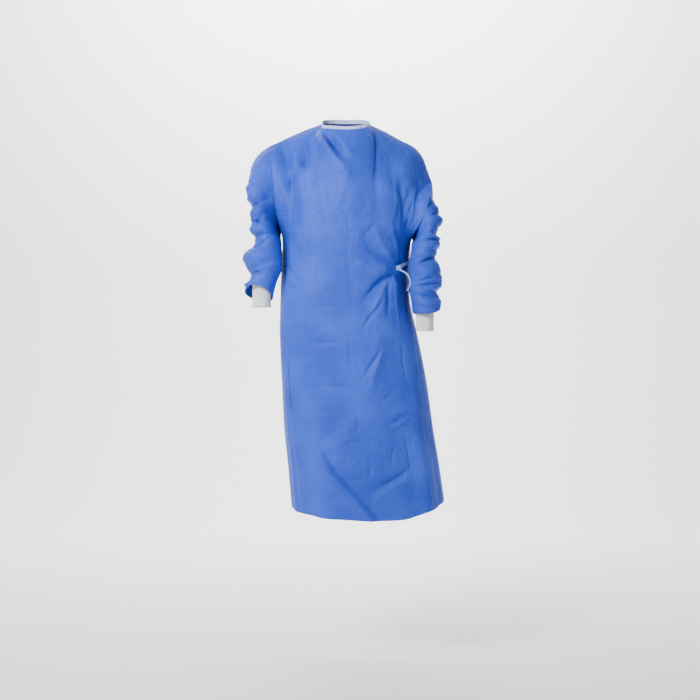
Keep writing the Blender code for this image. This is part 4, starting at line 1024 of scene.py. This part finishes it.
def strip_cloth(name, colour, shade):
    material, tree, shader = new_material(
        name, colour, 0.66, Sheen_Weight=0.2, Specular_IOR_Level=0.3
    )
    place = add_node(tree, "ShaderNodeTexCoord").outputs["Object"]
    fibres, clouds = noise(tree, place, 700.0, 3.0), noise(tree, place, 60.0, 2.0)
    tint = mixed(tree, remap(tree, clouds, 0.3, 0.7), shade, colour)
    tint = mixed(tree, remap(tree, fibres, 0.5, 0.8, 0.0, 0.3), tint, FIBRE_WHITE)
    feed(tree, shader.inputs["Base Color"], tint)
    normal = relief(tree, fibres, 0.0002, 0.5, relief(tree, clouds, 0.0012, 0.4))
    feed(tree, shader.inputs["Normal"], normal)
    return material


neck_start = (NECK_END - OUTER_EDGE) * FINER
neck_edge = np.concatenate([
    outer_places[0, : neck_start + 1],
    front_places[0, NECK_START * FINER + 1 : NECK_END * FINER + 1],
    under_places[0, NECK_START * FINER + 1 :],
])
neck_edge = np.stack([np.interp(
    np.linspace(0, 1, 3 * len(neck_edge)), np.linspace(0, 1, len(neck_edge)), neck_edge[:, axis]
) for axis in range(3)], axis=-1)
neck_out = unit(neck_edge * np.array([1, 1, 0]))
pucker = 0.0005 * np.sin(np.arange(len(neck_edge)) * 0.9) + 0.0004 * np.sin(
    np.arange(len(neck_edge)) * 0.37)
binding_rows = []
for rise, out in metres(BINDING_FOLD):
    lean = -BINDING_LEAN * max(rise, 0) / BINDING_RISE
    loose = pucker[:, None] * min(1, abs(rise) / PUCKER_FROM)
    binding_rows.append(neck_edge + neck_out * (out + lean + loose) + np.array([0, 0, rise]))
pale_strip = strip_cloth("binding_strip", PALE_BLUE, PALE_SHADE)
binding = cloth_from(
    "neck_binding_strip", np.stack(binding_rows), pale_strip, wall=0.0005, sewn=()
)
stands_for("neck_binding")

# %% [markdown]
# The touch fastener is a small white patch on the outer back, close to the free edge of the wrap. It
# lies on the cloth and follows its curve.

# %% Neck tab
TAB_WHITE, TAB_SHADE = (0.88, 0.89, 0.89), (0.62, 0.63, 0.64)
TAB_ROWS, TAB_COLUMNS = 24, 26
# The rows and the columns of the outer back that the tab covers.
TAB_DOWN, TAB_ACROSS = (4, 17), (0.4, 7.6)
TAB_LIFT, TAB_WALL = 0.0009, 0.0012


def on_cloth(places, row, column, lift):
    """A place between the rows and columns of a sheet, moved out of it by lift."""
    rows, columns = places.shape[:2]
    r, c = min(int(row), rows - 2), min(int(column), columns - 2)
    fr, fc = row - r, column - c
    corner = places[r : r + 2, c : c + 2]
    top = corner[0, 0] * (1 - fc) + corner[0, 1] * fc
    low = corner[1, 0] * (1 - fc) + corner[1, 1] * fc
    normal = np.cross(corner[1, 0] - corner[0, 0], corner[0, 1] - corner[0, 0])
    return top * (1 - fr) + low * fr + unit(normal) * lift


def touch_fastener(name):
    material, tree, shader = new_material(name, TAB_WHITE, 0.8)
    place = add_node(tree, "ShaderNodeTexCoord").outputs["Object"]
    loops = cells(tree, place, 900.0)
    colour = mixed(tree, remap(tree, loops, 0.1, 0.6), TAB_SHADE, TAB_WHITE)
    feed(tree, shader.inputs["Base Color"], colour)
    feed(tree, shader.inputs["Normal"], relief(tree, loops, 0.0005, 0.8))
    return material


tab_places = np.array([
    [on_cloth(outer_places, row, column, TAB_LIFT) for column in np.linspace(*TAB_ACROSS, TAB_COLUMNS)]
    for row in np.linspace(*TAB_DOWN, TAB_ROWS)
])
tab = cloth_from(
    "neck_tab_patch", tab_places, touch_fastener("tab_loops"), wall=TAB_WALL, sewn=(), offset=1.0
)
stands_for("neck_tab")

# %% [markdown]
# The waist tie is a flat strip of the pale cloth. It leaves the free edge of the wrap, follows the
# back and the side just off the cloth, and ends in the knot at the front. It is made from the cloth's
# own places moved out, so it bends wherever the gown bends.

# %% Waist tie
TIE_WIDTH, TIE_LIFT = 0.010, 0.0016
TIE_START_DROP, TIE_SIDE_DROP, TIE_END_DROP = 0.432, 0.417, 0.444
TIE_BACK_COLUMNS, TIE_FRONT_COLUMNS = 2, 8
TIE_COLOUR, TIE_SHADE = (0.30, 0.48, 0.90), (0.20, 0.38, 0.84)
STRIP_WALL = 0.0008
# Its section: the share of the width, and the height above the cloth in metres.
TIE_FOLD = (
    (-0.5, 0.0), (-0.47, 0.0005), (-0.35, 0.0004), (-0.1, 0.0002), (0.1, 0.0006), (0.35, 0.0003),
    (0.47, 0.0005), (0.5, 0.0),
)


def at_drop(places, column, drop, lift):
    line = places[:, column]
    row = int(np.clip(np.searchsorted(-line[:, 2], drop) - 1, 0, len(line) - 2))
    part = (drop + line[row, 2]) / (line[row, 2] - line[row + 1, 2])
    return on_cloth(places, row + part, min(column, places.shape[1] - 2), lift)


stops = [(outer_places, c) for c in range(TIE_BACK_COLUMNS * FINER, -1, -2)]
stops += [(under_places, c) for c in range((OUTER_EDGE - 1) * FINER, -1, -2)]
side_stop = len(stops) - 1
stops += [(front_places, STEPS * FINER - c) for c in range(4, TIE_FRONT_COLUMNS * FINER + 1, 2)]
tie_rows = []
for across, thick in TIE_FOLD:
    line = []
    for i, (places, column) in enumerate(stops):
        if i <= side_stop:
            share = float(ramp(0, side_stop, i))
            drop = TIE_START_DROP + (TIE_SIDE_DROP - TIE_START_DROP) * share
        else:
            share = (i - side_stop) / (len(stops) - 1 - side_stop)
            drop = TIE_SIDE_DROP + (TIE_END_DROP - TIE_SIDE_DROP) * share
        line.append(at_drop(places, column, drop + across * TIE_WIDTH, TIE_LIFT + thick))
    tie_rows.append(line[::-1])
tie_places = np.array(tie_rows)
for _ in range(2):
    tie_places[:, 1:-1] = (tie_places[:, :-2] + 2 * tie_places[:, 1:-1] + tie_places[:, 2:]) / 4
tie_strip = strip_cloth("tie_strip", TIE_COLOUR, TIE_SHADE)
waist_tie = cloth_from("waist_tie_strip", tie_places, tie_strip, wall=STRIP_WALL, sewn=())
stands_for("waist_tie")

# %% [markdown]
# The knot is where the two ties cross twice and are pulled tight. A flattened strand that runs round
# a small trefoil gives the crossing wraps of a real knot. The free end hangs from it as a twisted
# strip that turns back at its tip, as the soft end of a tie does.

# %% Knot and free end
KNOT_WRAPS, KNOT_STEPS = (2, 3), 121
KNOT_RING, KNOT_WAVE, KNOT_DEPTH, KNOT_STRETCH = 0.0043, 0.0021, 0.0028, 1.05
STRAND_HALF_WIDTH, STRAND_HALF_THICK, STRAND_ROLL, STRAND_SIDES = 0.0026, 0.0013, 0.3, 16
knot_low, knot_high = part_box("tie_knot")
knot_middle = np.array((knot_low + knot_high) / 2)


def strand_places(line, twist):
    """A flattened strand along a line of points, turned about it by twist."""
    rows = []
    for point, ahead, turn in zip(line, unit(np.gradient(line, axis=0)), twist, strict=True):
        outward = unit(point - knot_middle + np.array([0, -1e-4, 0]))
        across = unit(np.cross(ahead, outward))
        up = unit(np.cross(across, ahead))
        wide = across * math.cos(turn) + up * math.sin(turn)
        thin = up * math.cos(turn) - across * math.sin(turn)
        rows.append([
            point + wide * STRAND_HALF_WIDTH * math.cos(a) + thin * STRAND_HALF_THICK * math.sin(a)
            for a in np.linspace(0, 2 * math.pi, STRAND_SIDES + 1)
        ])
    return np.array(rows)


steps = np.linspace(0, 2 * np.pi, KNOT_STEPS)
turns, waves = KNOT_WRAPS
ring = KNOT_RING + KNOT_WAVE * np.cos(waves * steps)
trefoil = knot_middle + np.stack([
    ring * np.cos(turns * steps) * KNOT_STRETCH, -KNOT_DEPTH * np.sin(waves * steps),
    ring * np.sin(turns * steps),
], axis=-1)
knot = cloth_from(
    "tie_knot_strand", strand_places(trefoil, STRAND_ROLL * np.sin(2 * steps)), tie_strip,
    tube=True, wall=0.0, sewn=(),
)
stands_for("tie_knot")

# In millimetres from the knot's middle, with the way that the strip faces in degrees.
TAIL = (
    (3, -3.5, -4, 10), (6.2, -5, -6.8, 20), (19, -6.5, -14, 30), (29, -7.5, -27, 50),
    (32.5, -6.5, -42, 55), (30, -5, -55, 45), (23.5, -4.5, -66.5, 25),
)
TAIL_WIDTH, TAIL_CUT_WIDTH, TAIL_STEPS, TAIL_COLUMNS = 0.0062, 0.0064, 60, 9
TAIL_SLOPE, TAIL_CUP, TAIL_CUP_WAVE = 0.35, 0.0012, 2.6
tail_line = along(metres(TAIL, 0, 1, 2), TAIL_STEPS)
tail_rows = []
for x, y, z, turn in tail_line:
    turn = math.radians(turn)
    across = unit(np.array([math.cos(turn), -math.sin(turn), TAIL_SLOPE]))
    middle = knot_middle + np.array([x, y, z])
    fold = unit(np.cross(across, np.array([0, 0, 1.0])))
    tail_rows.append([
        middle + across * TAIL_WIDTH * w + fold * TAIL_CUP * math.cos(TAIL_CUP_WAVE * math.pi * w)
        for w in np.linspace(-0.5, 0.5, TAIL_COLUMNS)
    ])
tail = cloth_from("tie_free_end", np.array(tail_rows), tie_strip, wall=STRIP_WALL, sewn=())
stands_for("tie_tail")

# %% [markdown]
# The studio is a pale sweep: a floor that bends up into a wall, so no edge shows behind the gown. It
# is made from one edge, extruded and bevelled. The gown hangs at the height at which it is worn.

# %% Floor and backdrop
FLOOR, SWEEP_HALF, WALL_HEIGHT, SWEEP_BEND = -1.62, 4.0, 6.0, 1.5
sweep = bmesh.new()
bmesh.ops.create_grid(sweep, x_segments=1, y_segments=1, size=SWEEP_HALF)
bmesh.ops.translate(sweep, verts=sweep.verts, vec=(0, 0, FLOOR))
far_edge = [e for e in sweep.edges if all(v.co.y > SWEEP_HALF / 2 for v in e.verts)]
wall = bmesh.ops.extrude_edge_only(sweep, edges=far_edge)
raised = [v for v in wall["geom"] if isinstance(v, bmesh.types.BMVert)]
bmesh.ops.translate(sweep, verts=raised, vec=(0, 0, WALL_HEIGHT))
corner = [e for e in sweep.edges if e.is_manifold]
bmesh.ops.bevel(
    sweep, geom=corner, offset=SWEEP_BEND, segments=16, affect="EDGES", profile=0.5, material=-1
)
bmesh.ops.recalc_face_normals(sweep, faces=sweep.faces)
for face in sweep.faces:
    face.smooth = True
sweep_mesh = bpy.data.meshes.new("studio_sweep")
sweep.to_mesh(sweep_mesh)
sweep.free()
sweep_material, _, _ = new_material("sweep_paper", (0.97, 0.975, 0.98), 0.9)
sweep_mesh.materials.append(sweep_material)
studio = bpy.data.objects.new("studio_sweep", sweep_mesh)
bpy.context.scene.collection.objects.link(studio)
print("floor at", FLOOR, "m")

# %% [markdown]
# Large soft lights give the even look of a catalogue picture. The main one stands in front, above and
# to the left of the camera, so that folds keep a soft shadow on one side. A weaker one fills from the
# right, and a pale world lightens what neither reaches.

# %% Lights


def soft_light(name, place, target, size, power):
    data = bpy.data.lights.new(name, "AREA")
    data.shape = "RECTANGLE"
    data.size, data.size_y = size
    data.energy = power
    light = bpy.data.objects.new(name, data)
    light.location = place
    way = np.array(target) - np.array(place)
    light.rotation_euler = Vector(way).to_track_quat("-Z", "Y").to_euler()
    bpy.context.scene.collection.objects.link(light)
    print(name, power, "W")


soft_light("key", (-1.1, -1.7, 0.55), (0, 0, -0.35), (0.6, 0.6), 76)
soft_light("fill", (2.4, -2.6, 0.2), (0, 0, -0.6), (1.4, 1.6), 6)
soft_light("back", (-0.8, 2.4, 1.2), (0, 0, -0.5), (1.6, 1.6), 30)
soft_light("wall", (0, 1.6, 2.6), (0, 3.9, 1.4), (3.0, 1.0), 520)
world = bpy.data.worlds.new("studio_world")
world.use_nodes = True
daylight = world.node_tree.nodes["Background"]
daylight.inputs["Color"].default_value = (0.93, 0.96, 1.0, 1)
daylight.inputs["Strength"].default_value = 0.48
bpy.context.scene.world = world
